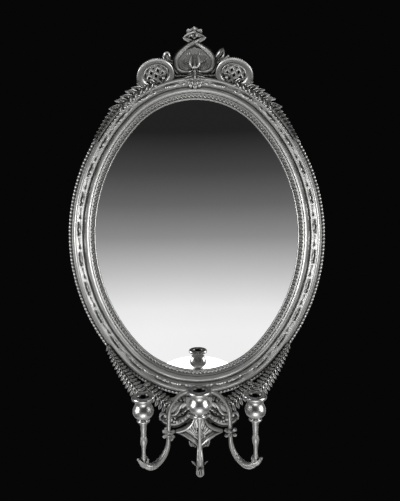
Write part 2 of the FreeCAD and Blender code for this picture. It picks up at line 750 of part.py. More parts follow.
def shoulder_scroll(frame):
    """Right-hand cartouche: a broad oval rim, seated on the moulding's outer slope."""
    place = SHOULDER_PLACE
    front = SHOULDER_BACK + SHOULDER_DEPTH
    low_rim = prism(ellipse_outline(*place, SHOULDER_HALF_LENGTH, SHOULDER_HALF_HEIGHT,
                                    -SHOULDER_TILT), SHOULDER_BACK, front - RIM_STEP)
    high_rim = prism(ellipse_outline(*place, SHOULDER_HALF_LENGTH - RIM_STEP,
                                     SHOULDER_HALF_HEIGHT - RIM_STEP, -SHOULDER_TILT),
                     SHOULDER_BACK, front)
    hole = prism(ellipse_outline(*place, SHOULDER_HALF_LENGTH - SHOULDER_RIM,
                                 SHOULDER_HALF_HEIGHT - SHOULDER_RIM, -SHOULDER_TILT),
                 0, front + 1)
    return less(low_rim.fuse(high_rim).removeSplitter().cut(hole), frame)


def shoulder_trellis(frame):
    """Pierced diagonal lattice that fills the cartouche."""
    place = SHOULDER_PLACE
    back = SHOULDER_BACK + TRELLIS_INSET
    plate = prism(ellipse_outline(*place, SHOULDER_HALF_LENGTH - SHOULDER_RIM,
                                  SHOULDER_HALF_HEIGHT - SHOULDER_RIM, -SHOULDER_TILT),
                  back, back + TRELLIS_THICKNESS)
    step = TRELLIS_PITCH / math.sqrt(2)
    half = 0.5 * TRELLIS_HOLE
    rows = range(-TRELLIS_ROWS, TRELLIS_ROWS + 1)
    for i in rows:
        for j in rows:
            along, across = (i + j) * step, (i - j) * step
            inside = ((abs(along) + half) / (SHOULDER_HALF_LENGTH - SHOULDER_RIM)) ** 2 \
                + ((abs(across) + half) / (SHOULDER_HALF_HEIGHT - SHOULDER_RIM)) ** 2
            if inside > 1:
                continue
            hole = polygon([(-half, 0), (0, -half), (half, 0), (0, half)])
            hole.translate(at(along, across))
            hole.rotate(V(0, 0, 0), V(0, -1, 0), -SHOULDER_TILT)
            hole.translate(at(*place))
            plate = plate.cut(prism(hole, back - 1, back + TRELLIS_THICKNESS + 1))
    return less(plate, frame)


# ---------------------------------------------------------------- leaf sprays
def toothed_leaf(spine, outer, inner, teeth, back, front):
    """Leaf along a curved spine of three (x, z) control points.

    outer and inner are the half-widths (at the root, at the tip) left and right of the
    spine; each side has the same number of pointed lobes, raked towards the tip.
    """
    def place(s, side, width):
        a, b, c = spine
        x = (1 - s) ** 2 * a[0] + 2 * s * (1 - s) * b[0] + s * s * c[0]
        z = (1 - s) ** 2 * a[1] + 2 * s * (1 - s) * b[1] + s * s * c[1]
        dx = (1 - s) * (b[0] - a[0]) + s * (c[0] - b[0])
        dz = (1 - s) * (b[1] - a[1]) + s * (c[1] - b[1])
        size = math.hypot(dx, dz)
        return (x - side * width * dz / size, z + side * width * dx / size)

    def edge(widths, side):
        points = []
        for i in range(teeth):
            notch, tip = i / teeth, min((i + LOBE_RAKE) / teeth, 0.985)
            swell = widths[0] + (widths[1] - widths[0]) * tip
            points.append(place(notch, side, LOBE_NOTCH * swell))
            points.append(place(tip, side, swell))
        return points

    outline = edge(outer, 1) + [place(1.0, 1, 0.0)] + list(reversed(edge(inner, -1)))
    return prism(polygon(outline), back, front)


def shoulder_spray(frame, scroll):
    """Right-hand spray running down the frame's outer edge from the cartouche."""
    spine = [beside_frame(*point) for point in SHOULDER_SPRAY_SPINE]
    leaf = toothed_leaf(spine, SHOULDER_SPRAY_OUTSIDE, SHOULDER_SPRAY_INSIDE,
                        SHOULDER_SPRAY_LOBES, SPRAY_BACK, SPRAY_BACK + SPRAY_THICKNESS)
    return less(leaf, frame + [scroll])


def apron_spray(frame):
    """Right-hand spray that hangs from the lower side of the frame."""
    spine = [beside_frame(*point) for point in APRON_SPRAY_SPINE]
    leaf = toothed_leaf(spine, APRON_SPRAY_OUTSIDE, APRON_SPRAY_INSIDE,
                        APRON_SPRAY_LOBES, SPRAY_BACK, SPRAY_BACK + SPRAY_THICKNESS)
    return less(leaf, frame)


def apron_foliage(frame, others):
    """Second tuft of leaves between the spray and the lower scroll."""
    spine = [beside_frame(*point) for point in FOLIAGE_SPINE]
    back = BATTEN_THICKNESS + 1
    leaf = toothed_leaf(spine, FOLIAGE_OUTSIDE, FOLIAGE_INSIDE, FOLIAGE_LOBES,
                        back, back + SPRAY_THICKNESS)
    return main_piece(less(leaf, frame + others))


# ---------------------------------------------------------------- apron and pendant
def apron_scroll():
    """Right-hand C-scroll: a crescent, its outer volute and the curl inside it."""
    w, z = SCROLL_REACH, SCROLL_MIDDLE
    back, front = BATTEN_THICKNESS, BATTEN_THICKNESS + CARVING_THICKNESS + 4
    crescent = prism(closed_outline([
        (0.19 * w, z + 8),
        ((0.54 * w, z - 32), (w, z - 2)),
        (w - 12, z + 10),
        ((0.54 * w, z - 12), (0.31 * w, z + 14)),
    ]), back, front)
    x = w - VOLUTE_RADIUS + 1
    volute = disc(x, z, VOLUTE_RADIUS, back, front).cut(disc(x, z, VOLUTE_EYE, 0, front + 1))
    curl = disc(0.5 * w, z + 19, CURL_RADIUS, back, front - 4)
    curl = curl.cut(disc(0.51 * w, z + 21, CURL_EYE, 0, front))
    link = block(0.44 * w, 0.56 * w, back, front - 6, z - 12, z + 8)
    cap = prism(closed_outline([
        (0.23 * w, z + 10),
        ((0.385 * w, z + 40), (0.75 * w, z + 36)),
        (0.81 * w, z + 28),
        ((0.48 * w, z + 30), (0.33 * w, z + 12)),
    ]), back, front - 2)
    return joined([crescent, volute, curl, link, cap])


def pendant_side(width, middle, top, bottom, waist):
    """Right half of a lozenge with hollow sides, as outline steps from top to bottom."""
    return [
        (waist, top),
        ((0.46 * width, middle + 0.45 * (top - middle)), (width, middle)),
        ((0.50 * width, middle + 0.40 * (bottom - middle)), (0.5 * waist, bottom)),
    ]


def pendant_outline(inset):
    steps = pendant_side(PENDANT_HALF_WIDTH - 3.0 * inset, PENDANT_MIDDLE,
                         PENDANT_TOP - inset, PENDANT_BOTTOM + 1.6 * inset, PENDANT_WAIST - inset)
    a, b, c = steps[0], steps[1], steps[2]
    return closed_outline([
        a, b, c,
        (-c[1][0], c[1][1]),
        ((-c[0][0], c[0][1]), (-b[1][0], b[1][1])),
        ((-b[0][0], b[0][1]), (-a[0], a[1])),
    ])


def pendant_frame():
    """Raised rim of the pendant, on the apron board."""
    front = BATTEN_THICKNESS + PENDANT_RIM_THICKNESS
    rim = prism(pendant_outline(0.0), BATTEN_THICKNESS, front)
    return rim.cut(prism(pendant_outline(PENDANT_RIM), 0, front + 1))


def pendant_shell():
    """Panel inside the rim with ribs that fan out from its foot."""
    inside = prism(pendant_outline(PENDANT_RIM), BATTEN_THICKNESS, FRAME_DEPTH)
    level = BATTEN_THICKNESS + PENDANT_RIM_THICKNESS - 8
    foot = (0.0, PENDANT_BOTTOM + 2 * PENDANT_RIM)
    ribs = []
    for i in range(PENDANT_RIBS):
        angle = 90 + PENDANT_FAN * (i - 0.5 * (PENDANT_RIBS - 1))
        rib = block(0, PENDANT_RIB_LENGTH, level, level + PENDANT_RIB_RISE,
                    -PENDANT_RIB_WIDTH / 2, PENDANT_RIB_WIDTH / 2)
        rib.rotate(V(0, 0, 0), V(0, -1, 0), angle)
        rib.translate(at(*foot))
        ribs.append(rib.common(inside))
    plate = prism(pendant_outline(PENDANT_RIM), BATTEN_THICKNESS, level)
    return joined([plate] + ribs)


def pendant_calyx():
    """Leaf cup below the pendant's hollow sides."""
    z, w = PENDANT_BOTTOM, CALYX_HALF_WIDTH
    back, front = BATTEN_THICKNESS, BATTEN_THICKNESS + CARVING_THICKNESS
    outline = closed_outline([
        (w, z + 14),
        ((w - 2, z + 2), (0.62 * w, z - 5)),
        ((0.5 * w, z - 14), (0.0, CALYX_BOTTOM)),
        ((-0.5 * w, z - 14), (-0.62 * w, z - 5)),
        ((-w + 2, z + 2), (-w, z + 14)),
        (0.0, z + 6),
    ])
    solid = prism(outline, back, front)
    pocket = prism(pendant_outline(0.0), 0, FRAME_DEPTH)
    return solid.cut(pocket)


def apron_bow(bracket):
    """Two short scroll ends that tie the pendant to the frame."""
    w, z = BOW_HALF_WIDTH, BOW_MIDDLE
    back, front = BATTEN_THICKNESS, BATTEN_THICKNESS + CARVING_THICKNESS + 6
    lobe = prism(closed_outline([
        (0.0, z - 8),
        (w - 8, z - 2),
        ((w, z + 4), (w - 8, z + 8)),
        (0.0, z),
    ]), back, front)
    return less(joined([lobe, mirrored(lobe)]), [bracket])


# ---------------------------------------------------------------- bracket, screws, hangers
SPIGOT_TOP = ARM_TOP - ELBOW_RADIUS - 1.0
SOCKET_TOP = SPIGOT_TOP - SEAT_GAP
SOCKET_BOTTOM = SOCKET_TOP - BRACKET_BAR_HEIGHT
SOCKETS = {"left": -SOCKET_SPACING, "centre": 0.0, "right": SOCKET_SPACING}
WEB_TOP = -FRAME_TOP - BRACKET_CLEARANCE
FLANGE_FRONT = BATTEN_THICKNESS + BRACKET_WEB


def arm_bracket():
    """Iron bracket: a bar with three sockets, a web under the frame and a screwed flange."""
    front = SOCKET_STAND + 0.5 * BRACKET_BAR_DEPTH
    reach = BRACKET_HALF_LENGTH
    bar = block(-reach, reach, front - BRACKET_BAR_DEPTH, front, SOCKET_BOTTOM, SOCKET_TOP)
    web = block(-FLANGE_HALF_WIDTH, FLANGE_HALF_WIDTH, BATTEN_THICKNESS, front,
                WEB_TOP - BRACKET_WEB, WEB_TOP)
    drop = block(-FLANGE_HALF_WIDTH, FLANGE_HALF_WIDTH, front - BRACKET_BAR_DEPTH, front,
                 WEB_TOP - BRACKET_WEB, SOCKET_TOP)
    flange = block(-FLANGE_HALF_WIDTH, FLANGE_HALF_WIDTH, BATTEN_THICKNESS, FLANGE_FRONT,
                   WEB_TOP - BRACKET_FLANGE_HEIGHT, WEB_TOP)
    whole = joined([bar, web, drop, flange])
    for x in SOCKETS.values():
        bore = Part.makeCylinder(SPIGOT_RADIUS + SPIGOT_FIT, BRACKET_BAR_HEIGHT + 20,
                                 at(x, SOCKET_TOP - SPIGOT_LENGTH - 1, SOCKET_STAND))
        whole = whole.cut(bore)
    return whole


def screw(x, z, head_back, from_front, length=SCREW_LENGTH):
    """Cheese-headed screw; head_back is the height where its head meets the wood."""
    sign = 1 if from_front else -1
    axis = V(0, -sign, 0)
    head = Part.makeCylinder(SCREW_HEAD_RADIUS, SCREW_HEAD_HEIGHT, at(x, z, head_back), axis)
    shank = Part.makeCylinder(SCREW_RADIUS, length, at(x, z, head_back), V(0, sign, 0))
    return head.fuse(shank).removeSplitter()


def bracket_screws():
    z = WEB_TOP - 0.6 * BRACKET_FLANGE_HEIGHT
    return [screw(x, z, FLANGE_FRONT, True) for x in (-BRACKET_SCREW_X, BRACKET_SCREW_X)]


def batten_screws():
    """Two screws from behind through each board, with their heads sunk in it."""
    z = SEAT_LINE + 0.5 * BATTEN_LAP - 3.0
    places = [(-BATTEN_SCREW_X, z), (BATTEN_SCREW_X, z), (-BATTEN_SCREW_X, -z), (BATTEN_SCREW_X, -z)]
    return [screw(x, z, SCREW_HEAD_HEIGHT + 0.5, False, BATTEN_SCREW_LENGTH) for x, z in places]


def hanger_place():
    """Middle of the felloe's flat back at the hangers' height, right-hand side."""
    middle = 0.5 * (BOARD_REBATE + FRAME_WIDTH)
    radius = SIGHT_SIDE_RADIUS + middle
    return -SIDE_CENTRE_X + math.sqrt(radius ** 2 - HANGER_Z ** 2), HANGER_Z


def hanger_pocket():
    x, z = hanger_place()
    low = z - 0.5 * HANGER_POCKET_HEIGHT
    return block(x - HANGER_POCKET_WIDTH / 2, x + HANGER_POCKET_WIDTH / 2, -1.0,
                 HANGER_POCKET_DEPTH, low, low + HANGER_POCKET_HEIGHT)


EYE_INNER = RING_BAR_RADIUS + RING_EYE_CLEARANCE
EYE_OUTER = EYE_INNER + RING_EYE_WALL
EYE_HEIGHT = HANGER_POCKET_DEPTH - EYE_OUTER


def hanger_plate():
    """Iron plate screwed in the pocket, its lower edge rolled into an eye for the ring.

    A narrower neck above the eye lets the ring's sides turn past the plate.
    """
    x, z = hanger_place()
    floor = HANGER_POCKET_DEPTH
    neck_half = RING_HALF_WIDTH - RING_BAR_RADIUS - RING_PLATE_GAP
    neck_top = z + EYE_OUTER
    neck = block(x - neck_half, x + neck_half, floor - HANGER_PLATE_THICKNESS, floor, z, neck_top)
    plate = block(x - HANGER_PLATE_WIDTH / 2, x + HANGER_PLATE_WIDTH / 2,
                  floor - HANGER_PLATE_THICKNESS, floor, neck_top, z + HANGER_PLATE_HEIGHT - 2)
    eye = Part.makeCylinder(EYE_OUTER, RING_EYE_LENGTH,
                            at(x - RING_EYE_LENGTH / 2, z, EYE_HEIGHT), V(1, 0, 0))
    bore = Part.makeCylinder(EYE_INNER, RING_EYE_LENGTH + 2,
                             at(x - RING_EYE_LENGTH / 2 - 1, z, EYE_HEIGHT), V(1, 0, 0))
    return joined([plate, neck, eye]).cut(bore)


def hanger_screws():
    x, z = hanger_place()
    head = HANGER_POCKET_DEPTH - HANGER_PLATE_THICKNESS
    return [screw(x + side * HANGER_SCREW_X, z + HANGER_PLATE_HEIGHT - 9, head, False)
            for side in (-1, 1)]


def hanging_ring():
    """Square-bodied loop on a round bar that turns in the plate's eye; hangs straight down."""
    x, z = hanger_place()
    half, bar = RING_HALF_WIDTH, RING_BAR_RADIUS
    turning = Part.makeCylinder(bar, 2 * half, at(x - half, z, EYE_HEIGHT), V(1, 0, 0))
    outer, inner = half + bar, half - bar
    low = z - RING_DROP + half
    loop = closed_outline([(x + outer, z + bar), (x + outer, low),
                           ((x, low - outer), (x - outer, low)), (x - outer, z + bar)])
    gap = closed_outline([(x + inner, z + bar + 1), (x + inner, low),
                          ((x, low - inner), (x - inner, low)), (x - inner, z + bar + 1)])
    sides = prism(loop, EYE_HEIGHT - bar, EYE_HEIGHT + bar)
    sides = sides.cut(prism(gap, EYE_HEIGHT - bar - 1, EYE_HEIGHT + bar + 1))
    return joined([sides, turning])


# ---------------------------------------------------------------- candle arms
def tube(start, heading, steps, radius):
    """Round bar along straight runs (length,) and tangent bends (radius, turn) in X-Z."""
    x, z = start
    pieces = []
    for step in steps:
        angle = math.radians(heading)
        along = V(math.cos(angle), 0, math.sin(angle))
        disc_face = Part.Face(Part.Wire([Part.makeCircle(radius, at(x, z), along)]))
        if len(step) == 1:
            pieces.append(disc_face.extrude(along * step[0]))
            x, z = x + along.x * step[0], z + along.z * step[0]
            continue
        bend, turn = step
        side = 1 if turn > 0 else -1
        cx, cz = x - side * bend * math.sin(angle), z + side * bend * math.cos(angle)
        pieces.append(disc_face.revolve(at(cx, cz), V(0, -side, 0), abs(turn)))
        heading += turn
        angle = math.radians(heading)
        x, z = cx + side * bend * math.sin(angle), cz - side * bend * math.cos(angle)
    return joined(pieces)


def arm_steps(crown_radius):
    return [(1.0,), (ELBOW_RADIUS, -90.0), (crown_radius, -CROWN_TURN), (ARM_DROP,),
            (SWEEP_RADIUS, CROWN_TURN - BOWL_START), (BOWL_RADIUS, 90.0 + BOWL_START)]


def arm_end(crown_radius):
    """Where the bent bar ends, pointing straight up: distance from the swivel, height."""
    crown, bowl = math.radians(CROWN_TURN), math.radians(BOWL_START)
    reach = (ELBOW_RADIUS + crown_radius * math.sin(crown) + ARM_DROP * math.cos(crown)
             + SWEEP_RADIUS * (math.sin(crown) - math.sin(bowl)) + BOWL_RADIUS * (1 + math.sin(bowl)))
    fall = (crown_radius * (1 - math.cos(crown)) + ARM_DROP * math.sin(crown)
            + SWEEP_RADIUS * (math.cos(bowl) - math.cos(crown)) - BOWL_RADIUS * math.cos(bowl))
    return reach, ARM_TOP - fall


def lathe(x, z, section):
    """Turned piece about the upright axis at x; section holds (radius, height) steps."""
    steps = []
    for step in section:
        if isinstance(step[0], tuple):
            steps.append(tuple((x + r, z + h) for r, h in step))
        else:
            steps.append((x + step[0], z + step[1]))
    face = Part.Face(closed_outline(steps))
    return face.revolve(at(x, 0), V(0, 0, 1), 360)


def candle_arm(crown_radius, stem_height):
    """One arm: spigot, bent bar with its leaves, and the turned stem with a tenon on top."""
    bar = tube((0.0, SPIGOT_TOP), 90.0, arm_steps(crown_radius), ARM_RADIUS)
    spigot = Part.makeCylinder(SPIGOT_RADIUS, SPIGOT_LENGTH, at(0, SPIGOT_TOP - SPIGOT_LENGTH))
    reach, foot = arm_end(crown_radius)
    top = stem_height
    stem = lathe(reach, foot, [
        (0.0, 0.0),
        (ARM_RADIUS, 0.0),
        (BALUSTER_RADIUS - 1, BALUSTER_HEIGHT - 14),
        ((BALUSTER_RADIUS, BALUSTER_HEIGHT), (BALUSTER_RADIUS - 2, BALUSTER_HEIGHT + 12)),
        (STEM_RADIUS, top - 10),
        (STEM_RADIUS + 3, top),
        (TENON_RADIUS, top),
        (TENON_RADIUS, top + COLLAR_HEIGHT + TENON_LENGTH),
        (0.0, top + COLLAR_HEIGHT + TENON_LENGTH),
    ])
    return joined([bar, spigot, stem] + arm_leaf(crown_radius) + arm_clasp(crown_radius))


def cup_collar(crown_radius, stem_height):
    reach, foot = arm_end(crown_radius)
    return lathe(reach, foot + stem_height, [
        (TENON_RADIUS + TENON_FIT, 0.0),
        (COLLAR_RADIUS - 3, 0.0),
        (COLLAR_RADIUS, 0.4 * COLLAR_HEIGHT),
        (COLLAR_RADIUS - 1, 0.75 * COLLAR_HEIGHT),
        (COLLAR_RADIUS - 4, COLLAR_HEIGHT),
        (TENON_RADIUS + TENON_FIT, COLLAR_HEIGHT),
    ])


def candle_cup(crown_radius, stem_height):
    """Vase-shaped cup with a wide rim, a bore for the candle and a socket for the tenon."""
    reach, foot = arm_end(crown_radius)
    h, rim, bulb = CUP_HEIGHT, CUP_RIM_RADIUS, CUP_BULB_RADIUS
    return lathe(reach, foot + stem_height + COLLAR_HEIGHT, [
        (TENON_RADIUS + TENON_FIT, 0.0),
        (CUP_FOOT_RADIUS, 0.0),
        (0.84 * bulb, 0.18 * h),
        (bulb, 0.34 * h),
        (bulb, 0.48 * h),
        (0.88 * bulb, 0.63 * h),
        (CUP_NECK_RADIUS, 0.75 * h),
        (CUP_NECK_RADIUS, 0.8 * h),
        (rim, h - 0.6 * CUP_RIM_THICKNESS),
        (rim, h - 0.2 * CUP_RIM_THICKNESS),
        (rim - 3, h),
        (CANDLE_RADIUS, h),
        (CANDLE_RADIUS, h - CANDLE_DEPTH),
        (0.0, h - CANDLE_DEPTH),
        (0.0, TENON_LENGTH + 1),
        (TENON_RADIUS + TENON_FIT, TENON_LENGTH + 1),
    ])


def arm_leaf(crown_radius):
    """Acanthus sheath round the arm's lowest bend, with a curled tip on the outside."""
    reach, foot = arm_end(crown_radius)
    centre = reach - BOWL_RADIUS
    angle = math.radians(-BOWL_START)
    start = at(centre + BOWL_RADIUS * math.sin(angle), foot - BOWL_RADIUS * math.cos(angle))
    along = V(math.cos(angle), 0, math.sin(angle))
    round_face = Part.Face(Part.Wire([Part.makeCircle(ARM_RADIUS + LEAF_WALL, start, along)]))
    sheath = round_face.revolve(at(centre, foot), V(0, -1, 0), LEAF_TURN)
    tip = prism(closed_outline([
        (reach + 2, foot - 16),
        ((reach + 12, foot - 12), (reach + 15, foot + 4)),
        ((reach + 10, foot - 2), (reach + 4, foot - 3)),
    ]), -LEAF_TIP_WIDTH / 2, LEAF_TIP_WIDTH / 2)
    return [sheath, tip]


def arm_clasp(crown_radius):
    """Collar on the arm's straight drop with a bud on each side."""
    crown = math.radians(CROWN_TURN)
    run = CLASP_PLACE * ARM_DROP
    x = ELBOW_RADIUS + crown_radius * math.sin(crown) + run * math.cos(crown)
    z = ARM_TOP - crown_radius * (1 - math.cos(crown)) - run * math.sin(crown)
    along = V(math.cos(crown), 0, -math.sin(crown))
    collar = Part.makeCylinder(ARM_RADIUS + CLASP_WALL, CLASP_HEIGHT,
                               at(x, z) - along * (CLASP_HEIGHT / 2), along)
    leaf = Part.makePolygon([V(x, ARM_RADIUS - 1, z - 5), V(x, CLASP_REACH, z - 8),
                             V(x, CLASP_REACH - 3, z + 1), V(x, CLASP_REACH - 5, z + 7),
                             V(x, ARM_RADIUS - 1, z + 4), V(x, ARM_RADIUS - 1, z - 5)])
    bud = Part.Face(leaf).extrude(V(CLASP_HEIGHT - 2, 0, 0))
    bud.translate(V(1 - CLASP_HEIGHT / 2, 0, 0))
    return [collar, bud, bud.mirror(V(0, 0, 0), V(0, 1, 0))]


def posed(shape, side):
    """Turn an arm's piece to its azimuth and set it over its socket."""
    azimuth = {"left": -SIDE_ARM_AZIMUTH, "centre": 0.0, "right": SIDE_ARM_AZIMUTH}[side]
    turned = rotated(shape, V(0, 0, 0), V(0, 0, 1), azimuth - 90.0)
    turned.translate(at(SOCKETS[side], 0, SOCKET_STAND))
    return turned


# ---------------------------------------------------------------- assembly
def build():
    nodes = {}
    nodes["sight_slip"] = ring_of(slip_section())
    nodes["bead_edge"] = ring_of(bead_rail_section())
    nodes["leaf_trail"] = trail_husks()
    nodes["mirror_plate"] = mirror_plate()
    nodes["glass_blocks"] = glass_blocks()

    nails = backboard_nails()
    nodes["backboard"] = backboard(nails)
    nodes["backboard_nails"] = nails

    screws = batten_screws()
    hangers = {"right": (hanger_plate(), hanging_ring(), hanger_screws())}
    hangers["left"] = (mirrored(hangers["right"][0]), mirrored(hangers["right"][1]),
                       [mirrored(s) for s in hangers["right"][2]])
    for side, (plate, ring, side_screws) in hangers.items():
        nodes["hanger_plate_" + side] = less(plate, side_screws)
        nodes["hanging_ring_" + side] = ring
        screws = screws + side_screws
    bracket = arm_bracket()
    screws = screws + bracket_screws()

    crest_board = less(batten(crest_batten_outline()), screws)
    apron_board = less(batten(apron_batten_outline()), screws)
    nodes["crest_board"] = crest_board
    nodes["apron_board"] = apron_board
    nodes["arm_bracket"] = less(bracket, screws)
    nodes["wood_screws"] = Part.makeCompound(screws)

    recesses = [housing(crest_batten_outline(BATTEN_CLEARANCE)),
                housing(apron_batten_outline(BATTEN_CLEARANCE)),
                hanger_pocket(), mirrored(hanger_pocket())]
    for name in ARCS:
        nodes["felloe_" + name] = less(felloe(name), recesses + [nails] + screws)
    nodes["bead_edge"] = less(nodes["bead_edge"], recesses[:2])
    frame = [nodes["felloe_" + name] for name in ARCS] + [nodes["bead_edge"]]

    right_band = crest_band()
    right_band, left_band = crossed(right_band, mirrored(right_band))
    bands = [less(right_band, frame), less(left_band, frame)]
    nodes["crest_band_right"], nodes["crest_band_left"] = bands
    nodes["crest_panel"] = less(crest_panel(bands), frame)
    nodes["crest_bud"] = less(crest_bud(BATTEN_THICKNESS + CREST_PANEL_THICKNESS), bands)
    nodes["crest_finial"] = crest_finial(bands)
    nodes["crest_sprig_left"] = crest_bud_sprig(bands)
    nodes["crest_sprig_right"] = crest_leaf_sprig(bands)
    nodes["crest_shell"] = crest_shell(frame)

    scroll = shoulder_scroll(frame)
    trellis = shoulder_trellis(frame)
    spray = shoulder_spray(frame, scroll)
    hanging_spray = apron_spray(frame)
    lower_scroll = apron_scroll().cut(bracket)
    rim = pendant_frame()
    lower_scroll = lower_scroll.cut(prism(pendant_outline(0.0), 0, FRAME_DEPTH))
    tuft = apron_foliage(frame, [lower_scroll, hanging_spray])
    lower_scroll = less(lower_scroll, frame)
    for side, place in (("right", lambda shape: shape), ("left", mirrored)):
        nodes["shoulder_scroll_" + side] = place(scroll)
        nodes["shoulder_trellis_" + side] = place(trellis)
        nodes["shoulder_spray_" + side] = place(spray)
        nodes["apron_spray_" + side] = place(hanging_spray)
        nodes["apron_foliage_" + side] = place(tuft)
        nodes["apron_scroll_" + side] = place(lower_scroll)

    leaves = crest_leaf_pair(frame, bands + [nodes["crest_shell"]])
    nodes["crest_leaf_pair"] = leaves
    scrolls = [nodes["shoulder_scroll_left"], nodes["shoulder_scroll_right"]]
    nodes["crest_rail"] = crest_rail(frame, bands + scrolls + [leaves])
    nodes["pendant_frame"] = rim
    nodes["pendant_shell"] = pendant_shell()
    nodes["pendant_calyx"] = pendant_calyx()
    bow = apron_bow(bracket)
    nodes["apron_bow"] = less(bow, [rim, nodes["apron_scroll_left"], nodes["apron_scroll_right"]]
                              + bracket_screws())

    arms = {"left": (SIDE_CROWN_RADIUS, SIDE_STEM_HEIGHT),
            "centre": (CENTRE_CROWN_RADIUS, CENTRE_STEM_HEIGHT),
            "right": (SIDE_CROWN_RADIUS, SIDE_STEM_HEIGHT)}
    for side, (crown, stem) in arms.items():
        nodes["candle_arm_" + side] = posed(candle_arm(crown, stem), side)
        nodes["cup_collar_" + side] = posed(cup_collar(crown, stem), side)
        nodes["candle_cup_" + side] = posed(candle_cup(crown, stem), side)
    return nodes


os.makedirs("parts", exist_ok=True)
for node, shape in build().items():
    shape.exportStep("parts/" + node + ".step")
    solids = shape.Solids
    print(node, len(solids), "solid(s), volume", round(sum(s.Volume for s in solids)), shape.isValid())
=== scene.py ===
# %% [markdown]
# # An oval girandole mirror
#
# This is a carved and silvered frame round an oval plate of mirror glass, with three
# candle arms that swing below it. The exact solids of every piece, with their joints,
# come in from the imported frame. This script dresses them: the smooth pieces keep their
# solids and only get a finish, and the carved ones are modelled again in full relief.
# We load the frame first.

# %% Load the imported frame
import json
import math
import bmesh
import bpy
from mathutils import Matrix, Vector


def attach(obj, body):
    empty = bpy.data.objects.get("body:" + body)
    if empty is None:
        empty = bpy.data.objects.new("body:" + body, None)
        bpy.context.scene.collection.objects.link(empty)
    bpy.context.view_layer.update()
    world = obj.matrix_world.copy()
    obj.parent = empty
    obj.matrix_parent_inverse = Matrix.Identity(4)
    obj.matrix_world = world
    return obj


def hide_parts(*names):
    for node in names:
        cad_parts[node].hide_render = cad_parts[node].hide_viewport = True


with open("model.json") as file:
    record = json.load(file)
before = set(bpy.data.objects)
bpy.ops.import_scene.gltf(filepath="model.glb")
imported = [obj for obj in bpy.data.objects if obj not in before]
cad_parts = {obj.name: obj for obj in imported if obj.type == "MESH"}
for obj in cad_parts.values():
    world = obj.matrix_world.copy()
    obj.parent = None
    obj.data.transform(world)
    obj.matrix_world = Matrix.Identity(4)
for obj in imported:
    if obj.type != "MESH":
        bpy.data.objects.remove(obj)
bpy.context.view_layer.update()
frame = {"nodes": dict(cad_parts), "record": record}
print("pieces in the frame:", len(frame["nodes"]))

# %% [markdown]
# ## Measuring on the wall
#
# A frame like this is drawn on the wall plane: how far right, how far up, and how far
# a surface stands forward of the wall. We give every size in millimetres in that way,
# and one small function turns it into a point in the scene.

# %% Wall coordinates
MM = 0.001


def wall(x, z, h=0.0):
    """The point x to the right, z up and h forward of the wall, all in millimetres."""
    return Vector((x, -h, z)) * MM


# %% [markdown]
# ## The four-centre oval
#
# The joiner drew the oval from four centres, because four arcs can be turned and
# planed, and their joints fall where the curve changes. A pattern that runs round the
# frame needs places at an even pitch along those arcs. We work these out from the same
# three sizes that the joiner had: half the width, half the height and the end radius.

# %% Places round the oval
SIGHT_HALF_WIDTH, SIGHT_HALF_HEIGHT, SIGHT_END_RADIUS = 270.0, 360.0, 212.0
END_CENTRE = SIGHT_HALF_HEIGHT - SIGHT_END_RADIUS
END_STEP = SIGHT_HALF_WIDTH - SIGHT_END_RADIUS
SIDE_CENTRE = (END_CENTRE ** 2 - END_STEP ** 2) / (2 * END_STEP)
SIDE_RADIUS = SIGHT_HALF_WIDTH + SIDE_CENTRE
JOINT = math.atan2(END_CENTRE, SIDE_CENTRE)
ARCS = [
    (-SIDE_CENTRE, 0.0, SIDE_RADIUS, -JOINT, 2 * JOINT),
    (0.0, END_CENTRE, SIGHT_END_RADIUS, JOINT, math.pi - 2 * JOINT),
    (SIDE_CENTRE, 0.0, SIDE_RADIUS, math.pi - JOINT, 2 * JOINT),
    (0.0, -END_CENTRE, SIGHT_END_RADIUS, math.pi + JOINT, math.pi - 2 * JOINT),
]


def oval_places(offset, count, phase=0.5):
    """Evenly spaced (x, z, angle outward) round the oval, from its rightmost point."""
    lengths = [(radius + offset) * turn for _, _, radius, _, turn in ARCS]
    places = []
    for i in range(count):
        run = ((i + phase) * sum(lengths) / count + 0.5 * lengths[0]) % sum(lengths)
        for (cx, cz, radius, start, turn), length in zip(ARCS, lengths):
            if run <= length:
                angle = start + turn * run / length
                reach = radius + offset
                places.append((cx + reach * math.cos(angle), cz + reach * math.sin(angle), angle))
                break
            run -= length
    return places


def on_frame(degrees, offset):
    """The point (x, z) outside the sight edge where the normal points this way, on the right."""
    angle = math.radians(degrees)
    cx, cz, radius = ARCS[0][:3] if abs(angle) < JOINT else ARCS[1][:3] if angle > 0 else ARCS[3][:3]
    return cx + (radius + offset) * math.cos(angle), cz + (radius + offset) * math.sin(angle)


print("perimeter at the sight edge: %.0f mm" % sum(a[2] * a[4] for a in ARCS))

# %% [markdown]
# ## A carver's stroke
#
# Scrolls, stems, leaves and curls all have the same make: a section that travels along
# a curved line while it swells and tapers. A carver cuts them one stroke at a time. In
# bmesh the stroke is a ring of edges that is extruded from station to station, each
# time moved by one matrix. The line is given by a few rows of place, height, width and
# thickness, and a Catmull-Rom blend makes it smooth between them.

